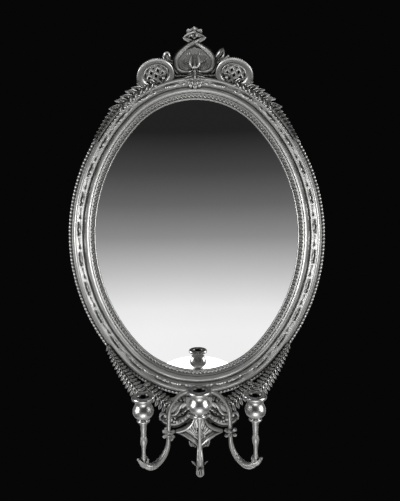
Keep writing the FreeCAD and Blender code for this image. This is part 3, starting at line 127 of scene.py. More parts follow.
# %% Sections for the strokes
HALF_ROUND = [(-1.0, 0.0), (-0.85, 0.53), (-0.5, 0.87), (0.0, 1.0), (0.5, 0.87), (0.85, 0.53), (1.0, 0.0)]
VEINED = [(-1.0, 0.0), (-0.95, 0.42), (-0.5, 0.95), (-0.14, 0.86), (0.0, 0.5),
          (0.14, 0.86), (0.5, 0.95), (0.95, 0.42), (1.0, 0.0)]
BAND = [(-1.0, 0.0), (-1.0, 0.58), (-0.86, 0.78), (-0.72, 0.6), (-0.5, 0.66), (-0.1, 0.96),
        (0.3, 1.0), (0.72, 0.76), (1.0, 0.4), (1.0, 0.0)]
FLAT_RIM = [(-1.0, 0.0), (-1.0, 0.78), (-0.86, 1.0), (-0.66, 0.86), (-0.2, 0.82), (0.4, 0.86),
            (0.74, 1.0), (0.96, 0.8), (1.0, 0.0)]
SLOPED = [(-1.0, 0.0), (-0.96, 0.8), (-0.8, 1.0), (-0.3, 0.96), (0.3, 0.72), (0.8, 0.42), (1.0, 0.18),
    (1.0, 0.0)]
ROUND = [(math.cos(2 * math.pi * i / 10), math.sin(2 * math.pi * i / 10)) for i in range(10)]


# %% The stroke itself
def blend_rows(rows, share):
    """Catmull-Rom value between rows of numbers, for share from 0 to 1 along them."""
    place = share * (len(rows) - 1)
    i = min(int(place), len(rows) - 2)
    t = place - i
    before, a, b, after = rows[max(i - 1, 0)], rows[i], rows[i + 1], rows[min(i + 2, len(rows) - 1)]
    return [0.5 * (2 * q + (r - p) * t + (2 * p - 5 * q + 4 * r - s) * t * t
                   + (3 * q - p - 3 * r + s) * t ** 3)
            for p, q, r, s in zip(before, a, b, after)]


def station(x, z, h, width, thickness, heading):
    """Matrix that lays a unit section across the stroke, standing out from the wall."""
    side = Vector((-math.sin(heading), 0, math.cos(heading)))
    along = Vector((math.cos(heading), 0, math.sin(heading)))
    columns = [side * max(width, 0.15) * MM, Vector((0, -1, 0)) * max(thickness, 0.15) * MM,
               along * MM]
    matrix = Matrix.Identity(4)
    for i, column in enumerate(columns):
        for j in range(3):
            matrix[j][i] = column[j]
    matrix.translation = wall(x, z, h)
    return matrix


def stroke(bm, section, rows, count=16, teeth=0, depth=0.3):
    """Sweep a section along rows of (x, z, h, half width, thickness).

    With teeth, the width swells and notches that many times, as a leaf's edge does.
    """
    matrices = []
    for i in range(count + 1):
        share = i / count
        x, z, h, width, thickness = blend_rows(rows, share)
        x1, z1 = blend_rows(rows, min(share + 0.01, 1.0))[:2]
        x0, z0 = blend_rows(rows, max(share - 0.01, 0.0))[:2]
        if teeth:
            width *= 1 - depth * (1 - (share * teeth) % 1.0)
        matrices.append(station(x, z, h, width, thickness, math.atan2(z1 - z0, x1 - x0)))
    ring = [bm.verts.new(matrices[0] @ Vector((a, b, 0))) for a, b in section]
    edges = [bm.edges.new((ring[i - 1], ring[i])) for i in range(len(ring))]
    bmesh.ops.contextual_create(bm, geom=edges)
    for last, here in zip(matrices, matrices[1:]):
        grown = bmesh.ops.extrude_edge_only(bm, edges=edges)["geom"]
        verts = [g for g in grown if isinstance(g, bmesh.types.BMVert)]
        fresh = set(verts)
        edges = [g for g in grown if isinstance(g, bmesh.types.BMEdge) and fresh.issuperset(g.verts)]
        bmesh.ops.transform(bm, matrix=here @ last.inverted(), verts=verts)
    bmesh.ops.contextual_create(bm, geom=edges)


def level(side, h, *places):
    """Rows for a stroke that keeps one height, from (x, z, half width, thickness) each.

    side is 1, or -1 for the mirror image.
    """
    return [(x * side, z, h, width, thickness) for x, z, width, thickness in places]


def ridge(bm, side, h, count, *places):
    """A half-round stroke at one height."""
    stroke(bm, HALF_ROUND, level(side, h, *places), count)


def leaf(bm, root, tip, bend, width, h, thickness, teeth=5, lift=0.0):
    """One carved leaf from root to tip, (x, z) in mm, bowed sideways by bend."""
    dx, dz = tip[0] - root[0], tip[1] - root[1]
    long = math.hypot(dx, dz)
    mx = (root[0] + tip[0]) / 2 - dz / long * bend
    mz = (root[1] + tip[1]) / 2 + dx / long * bend
    rows = [(root[0], root[1], h, 0.35 * width, 0.5 * thickness),
            ((root[0] + mx) / 2, (root[1] + mz) / 2, h, 0.9 * width, thickness),
            (mx, mz, h + 0.3 * lift, width, thickness),
            ((tip[0] + mx) / 2, (tip[1] + mz) / 2, h + 0.7 * lift, 0.7 * width, 0.8 * thickness),
            (tip[0], tip[1], h + lift, 0.08 * width, 0.4 * thickness)]
    stroke(bm, VEINED, rows, count=4 * teeth if teeth else 10, teeth=teeth)


def curl(bm, section, x, z, h, start, turns, radius0, radius1, width0, width1, thickness, count=22):
    """A volute: the stroke winds from radius0 in to radius1. Angles in degrees."""
    rows = []
    steps = max(6, int(8 * abs(turns)))
    for i in range(steps + 1):
        share = i / steps
        angle = math.radians(start + 360 * turns * share)
        radius = radius0 + (radius1 - radius0) * share
        rows.append((x + radius * math.cos(angle), z + radius * math.sin(angle), h,
            width0 + (width1 - width0) * share, thickness * (1 - 0.25 * share)))
    stroke(bm, section, rows, count)


def knob(bm, x, z, h, radius, flat=0.7, faces=10):
    """A carved button or berry, a little flattened towards the wall."""
    made = bmesh.ops.create_uvsphere(bm, u_segments=faces, v_segments=max(5, faces // 2), radius=radius * MM)
    bmesh.ops.scale(bm, vec=(1, flat, 1), verts=made["verts"])
    bmesh.ops.translate(bm, vec=wall(x, z, h), verts=made["verts"])


SHARP_DEGREES = 55


def finished(name, bm, material, nodes, body="frame"):
    """Turn a bmesh into a piece that stands for its solids and rides on their body."""
    bmesh.ops.recalc_face_normals(bm, faces=bm.faces)
    mesh = bpy.data.meshes.new(name)
    bm.to_mesh(mesh)
    bm.free()
    mesh.materials.append(material)
    mesh.shade_smooth()
    mesh.set_sharp_from_angle(angle=math.radians(SHARP_DEGREES))
    piece = bpy.data.objects.new(name, mesh)
    bpy.context.scene.collection.objects.link(piece)
    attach(piece, body)
    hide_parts(*nodes)
    print(name, "has", len(mesh.polygons), "faces")


def carved(name, bm, node):
    """A piece of the carved wood, which stands for one solid."""
    finished(name, bm, CARVING, [node])


def on_both_sides(name, model):
    """Model a right-hand piece and its mirror image, each for its own solid."""
    for side, sign in (("right", 1), ("left", -1)):
        bm = bmesh.new()
        model(bm)
        bmesh.ops.scale(bm, vec=(sign, 1, 1), verts=bm.verts)
        carved("carved_" + name + "_" + side, bm, name + "_" + side)

# %% [markdown]
# ## Silver leaf over gesso
#
# The frame's finish is beaten silver laid over gesso. Its colour carries painted shade: we
# mix a clean and a darker colour by how shut in a point is, which the ambient occlusion
# node tells us, so the hollows are painted dark as shade, and a fine noise moves the tone
# at random. The same noise drives roughness and a faint bump, so the leaf breaks the
# light as a hand-laid surface does.

# %% Helpers that add a node, link two and start a material
def add_node(tree, kind, label="", **inputs):
    node = tree.nodes.new(kind)
    node.label = label
    for name, value in inputs.items():
        node.inputs[name.replace("_", " ")].default_value = value
    return node


def wire(source, output, target, entry):
    """Link an output of one node to an input of another."""
    source.id_data.links.new(source.outputs[output], target.inputs[entry])


def two_tones(tree, low, high, label=""):
    """A colour ramp from one colour to another."""
    ramp = add_node(tree, "ShaderNodeValToRGB", label)
    ramp.color_ramp.elements[0].color = (*low, 1)
    ramp.color_ramp.elements[1].color = (*high, 1)
    return ramp


def new_material(name):
    """A material with its node tree and its shader."""
    material = bpy.data.materials.new(name)
    material.use_nodes = True
    return material, material.node_tree, material.node_tree.nodes["Principled BSDF"]


# %% The leafed finish in its different tones
def silver_leaf(name, clean, tone_and_shade, metallic, rough, shade_reach=0.009, pitch=55.0, relief=0.25):
    material, tree, shader = new_material(name)
    place = add_node(tree, "ShaderNodeTexCoord")
    mottle = add_node(tree, "ShaderNodeTexNoise", "mottle", Scale=pitch, Detail=6.0, Roughness=0.62)
    speckle = add_node(tree, "ShaderNodeTexNoise", "speckle", Scale=pitch * 9, Detail=3.0, Roughness=0.6)
    # Painted shade: ambient occlusion darkens the colour in the hollows, where shade falls.
    hollow_shade = add_node(tree, "ShaderNodeAmbientOcclusion", "hollows", Distance=shade_reach)
    hollow_shade.samples = 6
    ramp = two_tones(tree, tone_and_shade, clean, "toned to clean")
    ramp.color_ramp.elements[0].position = 0.30
    ramp.color_ramp.elements[1].position = 0.92
    shift = add_node(tree, "ShaderNodeMath", "noise moves the tone")
    shift.operation = "MULTIPLY_ADD"
    shift.inputs[1].default_value = 0.42
    centred = add_node(tree, "ShaderNodeMath", "noise about zero")
    centred.operation = "SUBTRACT"
    centred.inputs[1].default_value = 0.5
    wire(place, "Object", mottle, "Vector")
    wire(place, "Object", speckle, "Vector")
    wire(mottle, "Fac", centred, 0)
    wire(centred, 0, shift, 0)
    wire(hollow_shade, "AO", shift, 2)
    wire(shift, 0, ramp, "Fac")
    # Painted shade: where the mesh attribute is set, in a cup's bore, the colour is painted near black.
    painted_bore_shade = add_node(tree, "ShaderNodeAttribute", "soot inside a cup")
    painted_bore_shade.attribute_name = "painted_bore_shade"
    bore_shaded = add_node(tree, "ShaderNodeMix", "leaf or soot")
    bore_shaded.data_type = "RGBA"
    bore_shaded.inputs[7].default_value = (0.006, 0.006, 0.006, 1)
    wire(painted_bore_shade, "Fac", bore_shaded, 0)
    wire(ramp, "Color", bore_shaded, 6)
    wire(bore_shaded, 2, shader, "Base Color")
    spread = add_node(tree, "ShaderNodeMapRange", "roughness of the leaf", From_Min=0.3, From_Max=0.7,
        To_Min=rough - 0.08, To_Max=rough + 0.10)
    wire(speckle, "Fac", spread, "Value")
    wire(spread, "Result", shader, "Roughness")
    shader.inputs["Metallic"].default_value = metallic
    bump = add_node(tree, "ShaderNodeBump", "brush and gesso", Strength=relief, Distance=0.0006)
    wire(speckle, "Fac", bump, "Height")
    wire(bump, "Normal", shader, "Normal")
    return material


MOULDING = silver_leaf("leafed_moulding", (0.44, 0.44, 0.43), (0.055, 0.054, 0.052), 0.80, 0.40, shade_reach=0.007)
CARVING = silver_leaf("leafed_carving", (0.50, 0.50, 0.49), (0.045, 0.044, 0.042), 0.78, 0.38, shade_reach=0.006)
ARM = silver_leaf("leafed_arm", (0.40, 0.40, 0.39), (0.035, 0.034, 0.032), 0.85, 0.42, shade_reach=0.006,
    pitch=90.0)
CUP = silver_leaf("burnished_cup", (0.56, 0.56, 0.55), (0.15, 0.15, 0.145), 1.0, 0.32, shade_reach=0.004,
    pitch=40.0, relief=0.02)
print("leafed finishes:", MOULDING.name, CARVING.name, ARM.name, CUP.name)

# %% [markdown]
# ## Glass, pine and iron
#
# The mirror is old plate: silvered on its back and almost perfectly flat, so it is a
# metallic shader with a tiny roughness. The boards behind it are planed pine with a
# stretched wave for the grain, and the fittings are dark iron with a scaled skin.

# %% Mirror plate
def mirror_glass():
    material, tree, shader = new_material("silvered_glass")
    shader.inputs["Metallic"].default_value = 1.0
    shader.inputs["Roughness"].default_value = 0.015
    place = add_node(tree, "ShaderNodeTexCoord")
    cloud = add_node(tree, "ShaderNodeTexNoise", "faint clouds in the silver", Scale=3.0, Detail=4.0)
    ramp = two_tones(tree, (0.83, 0.83, 0.83), (0.90, 0.90, 0.90))
    wire(place, "Object", cloud, "Vector")
    wire(cloud, "Fac", ramp, "Fac")
    wire(ramp, "Color", shader, "Base Color")
    return material


# %% What shows from the front of a board or a fitting is leafed
def leafed_in_front(tree, shader, colour, beyond, tone):
    """Mix a leaf tone over a colour wherever the surface stands further out than this."""
    place = add_node(tree, "ShaderNodeTexCoord")
    split = add_node(tree, "ShaderNodeSeparateXYZ")
    front = add_node(tree, "ShaderNodeMapRange", "0 at the back, 1 in front", From_Min=-beyond * MM,
        From_Max=-(beyond + 0.4) * MM)
    leafed = add_node(tree, "ShaderNodeMix", "bare or leafed")
    leafed.data_type = "RGBA"
    mottle = add_node(tree, "ShaderNodeTexNoise", "mottle", Scale=60.0, Detail=5.0)
    tones = two_tones(tree, (0.45 * t for t in tone), (1.6 * t for t in tone))
    metal = add_node(tree, "ShaderNodeMapRange", "metallic",
        To_Min=shader.inputs["Metallic"].default_value, To_Max=0.75)
    wire(place, "Object", split, 0)
    wire(split, "Y", front, "Value")
    wire(front, "Result", leafed, 0)
    wire(front, "Result", metal, "Value")
    wire(metal, "Result", shader, "Metallic")
    wire(place, "Object", mottle, "Vector")
    wire(mottle, "Fac", tones, "Fac")
    tree.links.new(colour, leafed.inputs[6])
    wire(tones, "Color", leafed, 7)
    wire(leafed, 2, shader, "Base Color")


# %% Planed pine
def pine():
    material, tree, shader = new_material("back_pine")
    shader.inputs["Roughness"].default_value = 0.72
    place = add_node(tree, "ShaderNodeTexCoord")
    turn = add_node(tree, "ShaderNodeMapping", Scale=(1.0, 1.0, 0.06))
    grain = add_node(tree, "ShaderNodeTexWave", "grain", Scale=34.0, Distortion=5.0, Detail=3.0,
        Detail_Scale=1.6)
    ramp = two_tones(tree, (0.20, 0.125, 0.07), (0.40, 0.28, 0.17))
    bump = add_node(tree, "ShaderNodeBump", Strength=0.2, Distance=0.0004)
    wire(place, "Object", turn, "Vector")
    wire(turn, "Vector", grain, "Vector")
    wire(grain, "Fac", ramp, "Fac")
    leafed_in_front(tree, shader, ramp.outputs["Color"], 8.5, (0.11, 0.108, 0.104))
    wire(grain, "Fac", bump, "Height")
    wire(bump, "Normal", shader, "Normal")
    return material


# %% Dark iron
def iron():
    material, tree, shader = new_material("dark_iron")
    shader.inputs["Metallic"].default_value = 0.8
    place = add_node(tree, "ShaderNodeTexCoord")
    scale = add_node(tree, "ShaderNodeTexNoise", "forge scale", Scale=160.0, Detail=5.0)
    ramp = two_tones(tree, (0.035, 0.033, 0.031), (0.14, 0.135, 0.13))
    spread = add_node(tree, "ShaderNodeMapRange", To_Min=0.42, To_Max=0.68)
    bump = add_node(tree, "ShaderNodeBump", Strength=0.3, Distance=0.0003)
    wire(place, "Object", scale, "Vector")
    wire(scale, "Fac", ramp, "Fac")
    leafed_in_front(tree, shader, ramp.outputs["Color"], 9.5, (0.22, 0.22, 0.215))
    wire(scale, "Fac", spread, "Value")
    wire(spread, "Result", shader, "Roughness")
    wire(scale, "Fac", bump, "Height")
    wire(bump, "Normal", shader, "Normal")
    return material


FINISHES = {
    "leafed_moulding": MOULDING,
    "leafed_carving": CARVING,
    "leafed_arm": ARM,
    "burnished_cup": CUP,
    "silvered_glass": mirror_glass(),
    "back_pine": pine(),
    "dark_iron": iron(),
}

# %% Every solid gets its own finish from the record
for part in frame["record"]["subparts"]:
    solid = frame["nodes"][part["node"]]
    solid.data.materials.clear()
    solid.data.materials.append(FINISHES[part["material_slot"]])

# %% [markdown]
# ## The camera
#
# The photograph was taken from close by: about 1.1 m from the glass, a little above and
# left of the oval's centre, and turned by just under a degree. We found that from the
# reflected cup and the oval's shape. The optical axis doesn't meet the middle of the
# picture, so the lens is shifted a little, as a photographer crops or rises the front.

# %% Camera
PICTURE_WIDTH, PICTURE_HEIGHT = 400, 501
FOCAL_PIXELS = 400.0
AXIS_PIXELS = (193.9, 231.0)
lens = bpy.data.cameras.new("camera")
lens.sensor_width = 36.0
lens.lens = FOCAL_PIXELS / PICTURE_HEIGHT * lens.sensor_width
lens.shift_x = (PICTURE_WIDTH / 2 - AXIS_PIXELS[0]) / PICTURE_HEIGHT
lens.shift_y = (AXIS_PIXELS[1] - PICTURE_HEIGHT / 2) / PICTURE_HEIGHT
lens.clip_start = 0.05
camera = bpy.data.objects.new("camera", lens)
camera.location = wall(-7.7, 9.6, 1084.0)
camera.rotation_euler = (math.radians(90), math.radians(0.7), 0)
bpy.context.scene.collection.objects.link(camera)
bpy.context.scene.camera = camera
bpy.context.scene.view_settings.view_transform = "Standard"
print("camera stands %.0f mm from the wall, lens %.1f mm" % (-camera.location.y / MM, lens.lens))

# %% [markdown]
# ## Light, and what the mirror sees
#
# A mirror has no look of its own: it shows the room. In the photograph the room runs
# smoothly from dark above to white below, so the world gives glossy rays that ramp and
# leaves the camera a nearly black ground. Two soft lamps stand left and right of the
# frame, far enough out that the plate doesn't reflect them. A weak one hangs above and
# another lies below, so that the undersides of the carving aren't lost.

# %% World with a ramp for reflections
world = bpy.data.worlds.new("studio")
bpy.context.scene.world = world
world.use_nodes = True
tree = world.node_tree
tree.nodes.clear()
out = add_node(tree, "ShaderNodeOutputWorld")
ray = add_node(tree, "ShaderNodeLightPath")
direction = add_node(tree, "ShaderNodeTexCoord")
split = add_node(tree, "ShaderNodeSeparateXYZ")
slope = add_node(tree, "ShaderNodeMapRange", "from 20 degrees down to 14 degrees up", From_Min=-0.34,
    From_Max=0.24)
room = add_node(tree, "ShaderNodeValToRGB", "room seen in the mirror")
ROOM_TONES = [(0.0, 1.0), (0.17, 1.0), (0.26, 0.93), (0.40, 0.62), (0.56, 0.30),
              (0.70, 0.150), (0.84, 0.068), (1.0, 0.018)]
for i, (place, grey) in enumerate(ROOM_TONES):
    if i < 2:
        element = room.color_ramp.elements[i]
        element.position = place
    else:
        element = room.color_ramp.elements.new(place)
    element.color = (grey, grey, grey, 1)
breadth = add_node(tree, "ShaderNodeMath", "how far to the side")
breadth.operation = "ABSOLUTE"
window = add_node(tree, "ShaderNodeMapRange", "the room is dark on both sides", From_Min=0.34,
    From_Max=0.62, To_Min=1.0, To_Max=0.16)
depth = add_node(tree, "ShaderNodeMapRange", "and darker again at its foot", From_Min=-0.75,
    From_Max=-0.42, To_Min=0.40, To_Max=1.0)
strength = add_node(tree, "ShaderNodeMath", "strength of the room")
strength.operation = "MULTIPLY"
reflected = add_node(tree, "ShaderNodeBackground", "for glossy rays")
ambient = add_node(tree, "ShaderNodeBackground", "soft fill", Color=(1, 1, 1, 1), Strength=0.20)
ground = add_node(tree, "ShaderNodeBackground", "dark ground", Color=(0.0021, 0.0021, 0.0021, 1))
glossy = add_node(tree, "ShaderNodeMixShader")
seen = add_node(tree, "ShaderNodeMixShader")
wire(direction, "Generated", split, 0)
wire(split, "Z", slope, "Value")
wire(slope, "Result", room, "Fac")
wire(room, "Color", reflected, "Color")
wire(split, "X", breadth, 0)
wire(breadth, 0, window, "Value")
wire(split, "Z", depth, "Value")
wire(window, "Result", strength, 0)
wire(depth, "Result", strength, 1)
wire(strength, 0, reflected, "Strength")
wire(ray, "Is Glossy Ray", glossy, "Fac")
wire(ambient, 0, glossy, 1)
wire(reflected, 0, glossy, 2)
wire(ray, "Is Camera Ray", seen, "Fac")
wire(glossy, 0, seen, 1)
wire(ground, 0, seen, 2)
wire(seen, 0, out, "Surface")


# %% Soft lamps left and right, and weak ones above and below
def soft_lamp(name, x, z, h, size, power, target):
    light = bpy.data.lights.new(name, "AREA")
    light.shape = "DISK"
    light.size = size
    light.energy = power
    lamp = bpy.data.objects.new(name, light)
    lamp.location = wall(x, z, h)
    lamp.rotation_euler = (wall(*target) - lamp.location).to_track_quat("-Z", "Y").to_euler()
    bpy.context.scene.collection.objects.link(lamp)
    return lamp


soft_lamp("lamp_left", -1450, 60, 620, 0.72, 18.0, (0, 0, 0))
soft_lamp("lamp_right", 1450, 60, 620, 0.72, 18.0, (0, 0, 0))
soft_lamp("lamp_top", 0, 1350, 900, 0.5, 0.7, (0, 300, 0))
soft_lamp("lamp_low", 0, -1150, 1200, 0.9, 5.0, (0, -400, 0))


# %% A pale floor, well below the picture
floor_mesh = bmesh.new()
bmesh.ops.create_circle(floor_mesh, cap_ends=True, segments=64, radius=1.1)
bmesh.ops.translate(floor_mesh, vec=wall(0, -1500, 300), verts=floor_mesh.verts)
floor_data = bpy.data.meshes.new("floor")
floor_mesh.to_mesh(floor_data)
floor_mesh.free()
floor = bpy.data.objects.new("floor", floor_data)
bpy.context.scene.collection.objects.link(floor)
paper, _, matt = new_material("pale_floor")
matt.inputs["Base Color"].default_value = (0.74, 0.74, 0.73, 1)
matt.inputs["Roughness"].default_value = 0.9
floor_data.materials.append(paper)
print("lamps, world and floor are in place")

# %% [markdown]
# ## Pearls and leaf tips
#
# Two rows of repeats give the frame its rhythm: a string of pearls on the outermost
# rail, and slanted leaf tips on the slip next to the glass. On the real frame they were
# pressed in moulds and laid in strips. We spin the plain rail section about each of the
# four centres, then copy one low-cost pearl to every place. There are hundreds of
# them, so each has only a few dozen faces.

# %% Spin a moulding section round the oval
def run_round(bm, section, step=4.0):
    """Spin a closed (offset, height) section about the oval's four centres."""
    for cx, cz, radius, start, turn in ARCS:
        ring = []
        for offset, h in section:
            reach = radius + offset
            ring.append(bm.verts.new(wall(cx + reach * math.cos(start), cz + reach * math.sin(start), h)))
        edges = [bm.edges.new((ring[i - 1], ring[i])) for i in range(len(ring))]
        bmesh.ops.spin(bm, geom=ring + edges, cent=wall(cx, cz), axis=(0, -1, 0), angle=turn,
            steps=max(8, int(math.degrees(turn) / step)), use_merge=False, use_duplicate=False)
    bmesh.ops.remove_doubles(bm, verts=bm.verts, dist=0.02 * MM)


def laid_on(bm, unit, x, z, h, turn, slope=0.0):
    """Copy a unit modelled at the origin to a place on the frame.

    turn swings it in the wall plane, and slope tips its outer side away from the wall.
    """
    copy = unit.copy()
    place = (Matrix.Translation(wall(x, z, h)) @ Matrix.Rotation(-turn, 4, "Y")
             @ Matrix.Rotation(slope, 4, "Z"))
    bmesh.ops.transform(copy, matrix=place, verts=copy.verts)
    mesh = bpy.data.meshes.new("unit")
    copy.to_mesh(mesh)
    copy.free()
    bm.from_mesh(mesh)
    bpy.data.meshes.remove(mesh)


# %% Pearl rail
PEARL_COUNT, PEARL_OFFSET, PEARL_HEIGHT, PEARL_RADIUS = 246, 69.1, 10.6, 4.7
RAIL_SECTION = [(64.0, 0.0), (64.0, 8.6), (65.4, 10.0), (72.6, 10.0), (73.8, 8.0), (73.8, 0.0)]
rail = bmesh.new()
run_round(rail, RAIL_SECTION)
pearl = bmesh.new()
bmesh.ops.create_uvsphere(pearl, u_segments=8, v_segments=6, radius=PEARL_RADIUS * MM)
for x, z, angle in oval_places(PEARL_OFFSET, PEARL_COUNT):
    laid_on(rail, pearl, x, z, PEARL_HEIGHT, angle)
pearl.free()
finished("pearl_rail", rail, MOULDING, ["bead_edge"])

# %% Slip with its bright inner bead, channel and slanted leaf tips
SLIP_SECTION = [(0.0, 18.1), (0.0, 20.4), (0.7, 21.8), (1.9, 22.2), (3.0, 21.4), (3.5, 19.9), (5.0, 19.4),
    (11.2, 19.8), (12.4, 21.4), (13.4, 23.6), (14.6, 24.4), (15.4, 23.8), (15.4, 18.1)]
TIP_COUNT, TIP_OFFSET, TIP_HEIGHT = 196, 7.9, 20.6
TIP_SLANT = math.radians(32)
slip = bmesh.new()
run_round(slip, SLIP_SECTION)
tip = bmesh.new()
bmesh.ops.create_uvsphere(tip, u_segments=8, v_segments=6, radius=1.0 * MM)
bmesh.ops.scale(tip, vec=(4.9, 1.7, 2.1), verts=tip.verts)
for x, z, angle in oval_places(TIP_OFFSET, TIP_COUNT):
    laid_on(slip, tip, x, z, TIP_HEIGHT, angle + TIP_SLANT, slope=0.1)
tip.free()
finished("carved_slip", slip, MOULDING, ["sight_slip"])

# %% [markdown]
# ## The trail on the frame
#
# A carved trail runs round the sloping bed between the round and the crest of the
# moulding. Its unit is a pointed drop with an almond in it, hugged by two leaf curls,
# and a knot of four small leaves ties it to the next one. We model one unit flat, with
# the same carver's strokes, and lay a copy at each of its places, pointing upward on
# both sides as on the real frame.

# %% One unit of the trail, x along the frame and z across it
def trail_unit():
    bm = bmesh.new()
    ridge(bm, 1, 0, 10, (-9, 0, 0.5, 1.5), (-3, 0, 2.6, 3.4), (4, 0, 2.0, 3.2), (12, 0, 0.3, 1.0))
    for side in (1, -1):
        ridge(bm, 1, 0, 14, (-13, 0.5 * side, 1.8, 3.0), (-9, 6.2 * side, 2.3, 4.6),
            (0, 7.4 * side, 2.4, 5.0), (9, 4.2 * side, 1.9, 4.4), (17, 0.4 * side, 0.6, 2.4))
        leaf(bm, (5, 6.5 * side), (19, 8.6 * side), -3.0 * side, 3.0, 0.8, 4.6, teeth=3)
        curl(bm, HALF_ROUND, -16.5, 5.6 * side, 0.4, 90 - 90 * side, 0.9 * side, 4.2, 1.2, 1.6, 0.8, 4.0, 14)
        leaf(bm, (38, 1.2 * side), (25, 6.8 * side), 2.0 * side, 3.1, 0.2, 4.2, teeth=3)
        leaf(bm, (41, 1.2 * side), (55, 6.4 * side), -2.0 * side, 3.1, 0.2, 4.2, teeth=3)
    ridge(bm, 1, 0, 6, (20, 0, 1.0, 2.2), (29, 1.2, 1.5, 2.6), (38, 0, 1.2, 2.4))
    ridge(bm, 1, 0, 6, (42, 0, 1.2, 2.4), (52, -1.2, 1.5, 2.6), (62, 0, 1.0, 2.2))
    knob(bm, 39.5, 0, 2.0, 3.0)
    return bm


# %% The trail's places: its unit points up, so it turns over at the top and the foot
TRAIL_COUNT, TRAIL_OFFSET, TRAIL_HEIGHT = 28, 36.0, 36.6
BED_RISE, BED_RUN = 14.0, 11.5
BED_SLOPE = math.atan2(BED_RISE, BED_RUN)
unit = trail_unit()
bmesh.ops.translate(unit, vec=wall(-20, 0), verts=unit.verts)
flipped = unit.copy()
bmesh.ops.scale(flipped, vec=(1, 1, -1), verts=flipped.verts)
trail = bmesh.new()
for x, z, angle in oval_places(TRAIL_OFFSET, TRAIL_COUNT):
    upward = x > 0
    bed = Matrix.Rotation(BED_SLOPE if upward else -BED_SLOPE, 4, "X")
    copy = (unit if upward else flipped).copy()
    bmesh.ops.transform(copy, matrix=bed, verts=copy.verts)
    laid_on(trail, copy, x, z, TRAIL_HEIGHT, angle + math.radians(90 if upward else -90))
    copy.free()
unit.free()
flipped.free()
finished("leaf_trail_carved", trail, MOULDING, ["leaf_trail"])

# %% [markdown]
# ## The crest
#
# Two moulded bands rise round a panel, cross, and end in a lozenge with a flower on it.
# The band that comes from the left passes in front of the other one. A bud with three
# petals stands in relief on the panel. All of it is carved from one thickness, so the
# back of each piece lies on the board, and only the strokes' heights differ.

# %% Band from the right, which goes behind at the crossing
CREST_BACK, PANEL_FACE, SPRIG_FOOT = 9.0, 13, 12


def crest_band(bm, over):
    base = CREST_BACK
    high = 17.5 if over else 11.0
    stroke(bm, BAND, level(1, base, (7, 437.5, 3.4, 9), (19, 432, 5.2, 13), (35, 433.5, 6.0, 15.5),
        (47, 442, 6.5, 17), (52, 456, 6.7, 18), (50, 470, 6.7, 18), (43, 482.5, 6.5, 17.5),
        (32, 493.5, 6.0, 16.5), (17.5, 504.5, 5.4, high), (4, 511.5, 5.0, high), (-8, 517.5, 4.6, 14),
        (-19, 522.8, 3.6, 12), (-28, 526, 2.0, 10)), 60)
    curl(bm, HALF_ROUND, 10, 440.5, base, -90, -1.1, 5.4, 1.6, 2.6, 1.6, 11, 20)


for side, sign in (("right", 1), ("left", -1)):
    bm = bmesh.new()
    crest_band(bm, over=side == "left")
    bmesh.ops.scale(bm, vec=(sign, 1, 1), verts=bm.verts)
    carved("carved_crest_band_" + side, bm, "crest_band_" + side)

# %% Lozenge and flower on top
FLOWER = 540.4                 # how high the flower's middle stands
bm = bmesh.new()
for side in (1, -1):
    stroke(bm, BAND, level(side, 10, (28.4, 526, 2.4, 11), (20, 531, 3.8, 13), (11, 535.5, 3.8, 13),
        (2, 539, 2.8, 11)), 12)
    knob(bm, 28.0 * side, 526, 15.5, 3.2)
    for turn, long, width in ((2, 20.8, 7.2), (64, 13.4, 6.4), (-50, 12.6, 5.0)):
        cosine, sine = math.cos(math.radians(turn)) * side, math.sin(math.radians(turn))
        stroke(bm, FLAT_RIM, [(3 * cosine, FLOWER + 3 * sine, 11, 0.4 * width, 5),
            (0.45 * long * cosine, FLOWER + 0.45 * long * sine, 11, 0.86 * width, 7.5),
            (0.82 * long * cosine, FLOWER + 0.82 * long * sine, 11, width, 9),
            (long * cosine, FLOWER + long * sine, 11, 0.6 * width, 7)], 12)
knob(bm, 0, 541.5, 17, 5.4, 0.7, 12)
knob(bm, 0, 524.5, 15, 4.4, 0.8)
stroke(bm, VEINED, level(1, 10, (0, 517, 2.0, 7), (0, 523, 5.0, 9), (0, 529, 0.6, 4)), 8)
carved("carved_crest_finial", bm, "crest_finial")

# %% Bud on the panel, with two faint leaves beside it
bm = bmesh.new()
for side in (1, -1):
    ridge(bm, side, PANEL_FACE, 20, (3, 443, 2.0, 5), (9.5, 447, 4.4, 10), (12.4, 456, 4.8, 13.5),
        (11.4, 466, 4.0, 12.5), (8.6, 475, 2.4, 8), (6.8, 483, 0.4, 2))
    stroke(bm, VEINED, level(side, PANEL_FACE, (17, 443, 1.4, 1.4), (27, 447, 5.0, 3.0),
        (33, 458, 5.4, 3.0), (29, 470, 3.8, 2.6), (18, 484, 1.0, 1.4)), 22, teeth=5, depth=0.4)
    curl(bm, HALF_ROUND, 23 * side, 459, 13.0, 90 + 90 * side, -1.1 * side, 5.5, 1.6, 1.5, 0.8, 3.4, 16)
    ridge(bm, side, PANEL_FACE, 8, (9, 478, 0.8, 1.5), (14, 486, 2.2, 3.2), (12, 495, 0.5, 1))
    ridge(bm, side, PANEL_FACE, 12, (16, 441, 1.2, 1.5), (38, 446, 2.0, 3.0), (41, 464, 0.8, 1.4))
ridge(bm, 1, PANEL_FACE, 16, (0, 441, 4.0, 5), (0, 448, 7.0, 8.5), (0, 457, 4.4, 6.0), (0, 470, 1.6, 3),
    (0, 492, 0.6, 1.4))
knob(bm, 0, 436, 18, 4.4)
carved("carved_crest_bud", bm, "crest_bud")

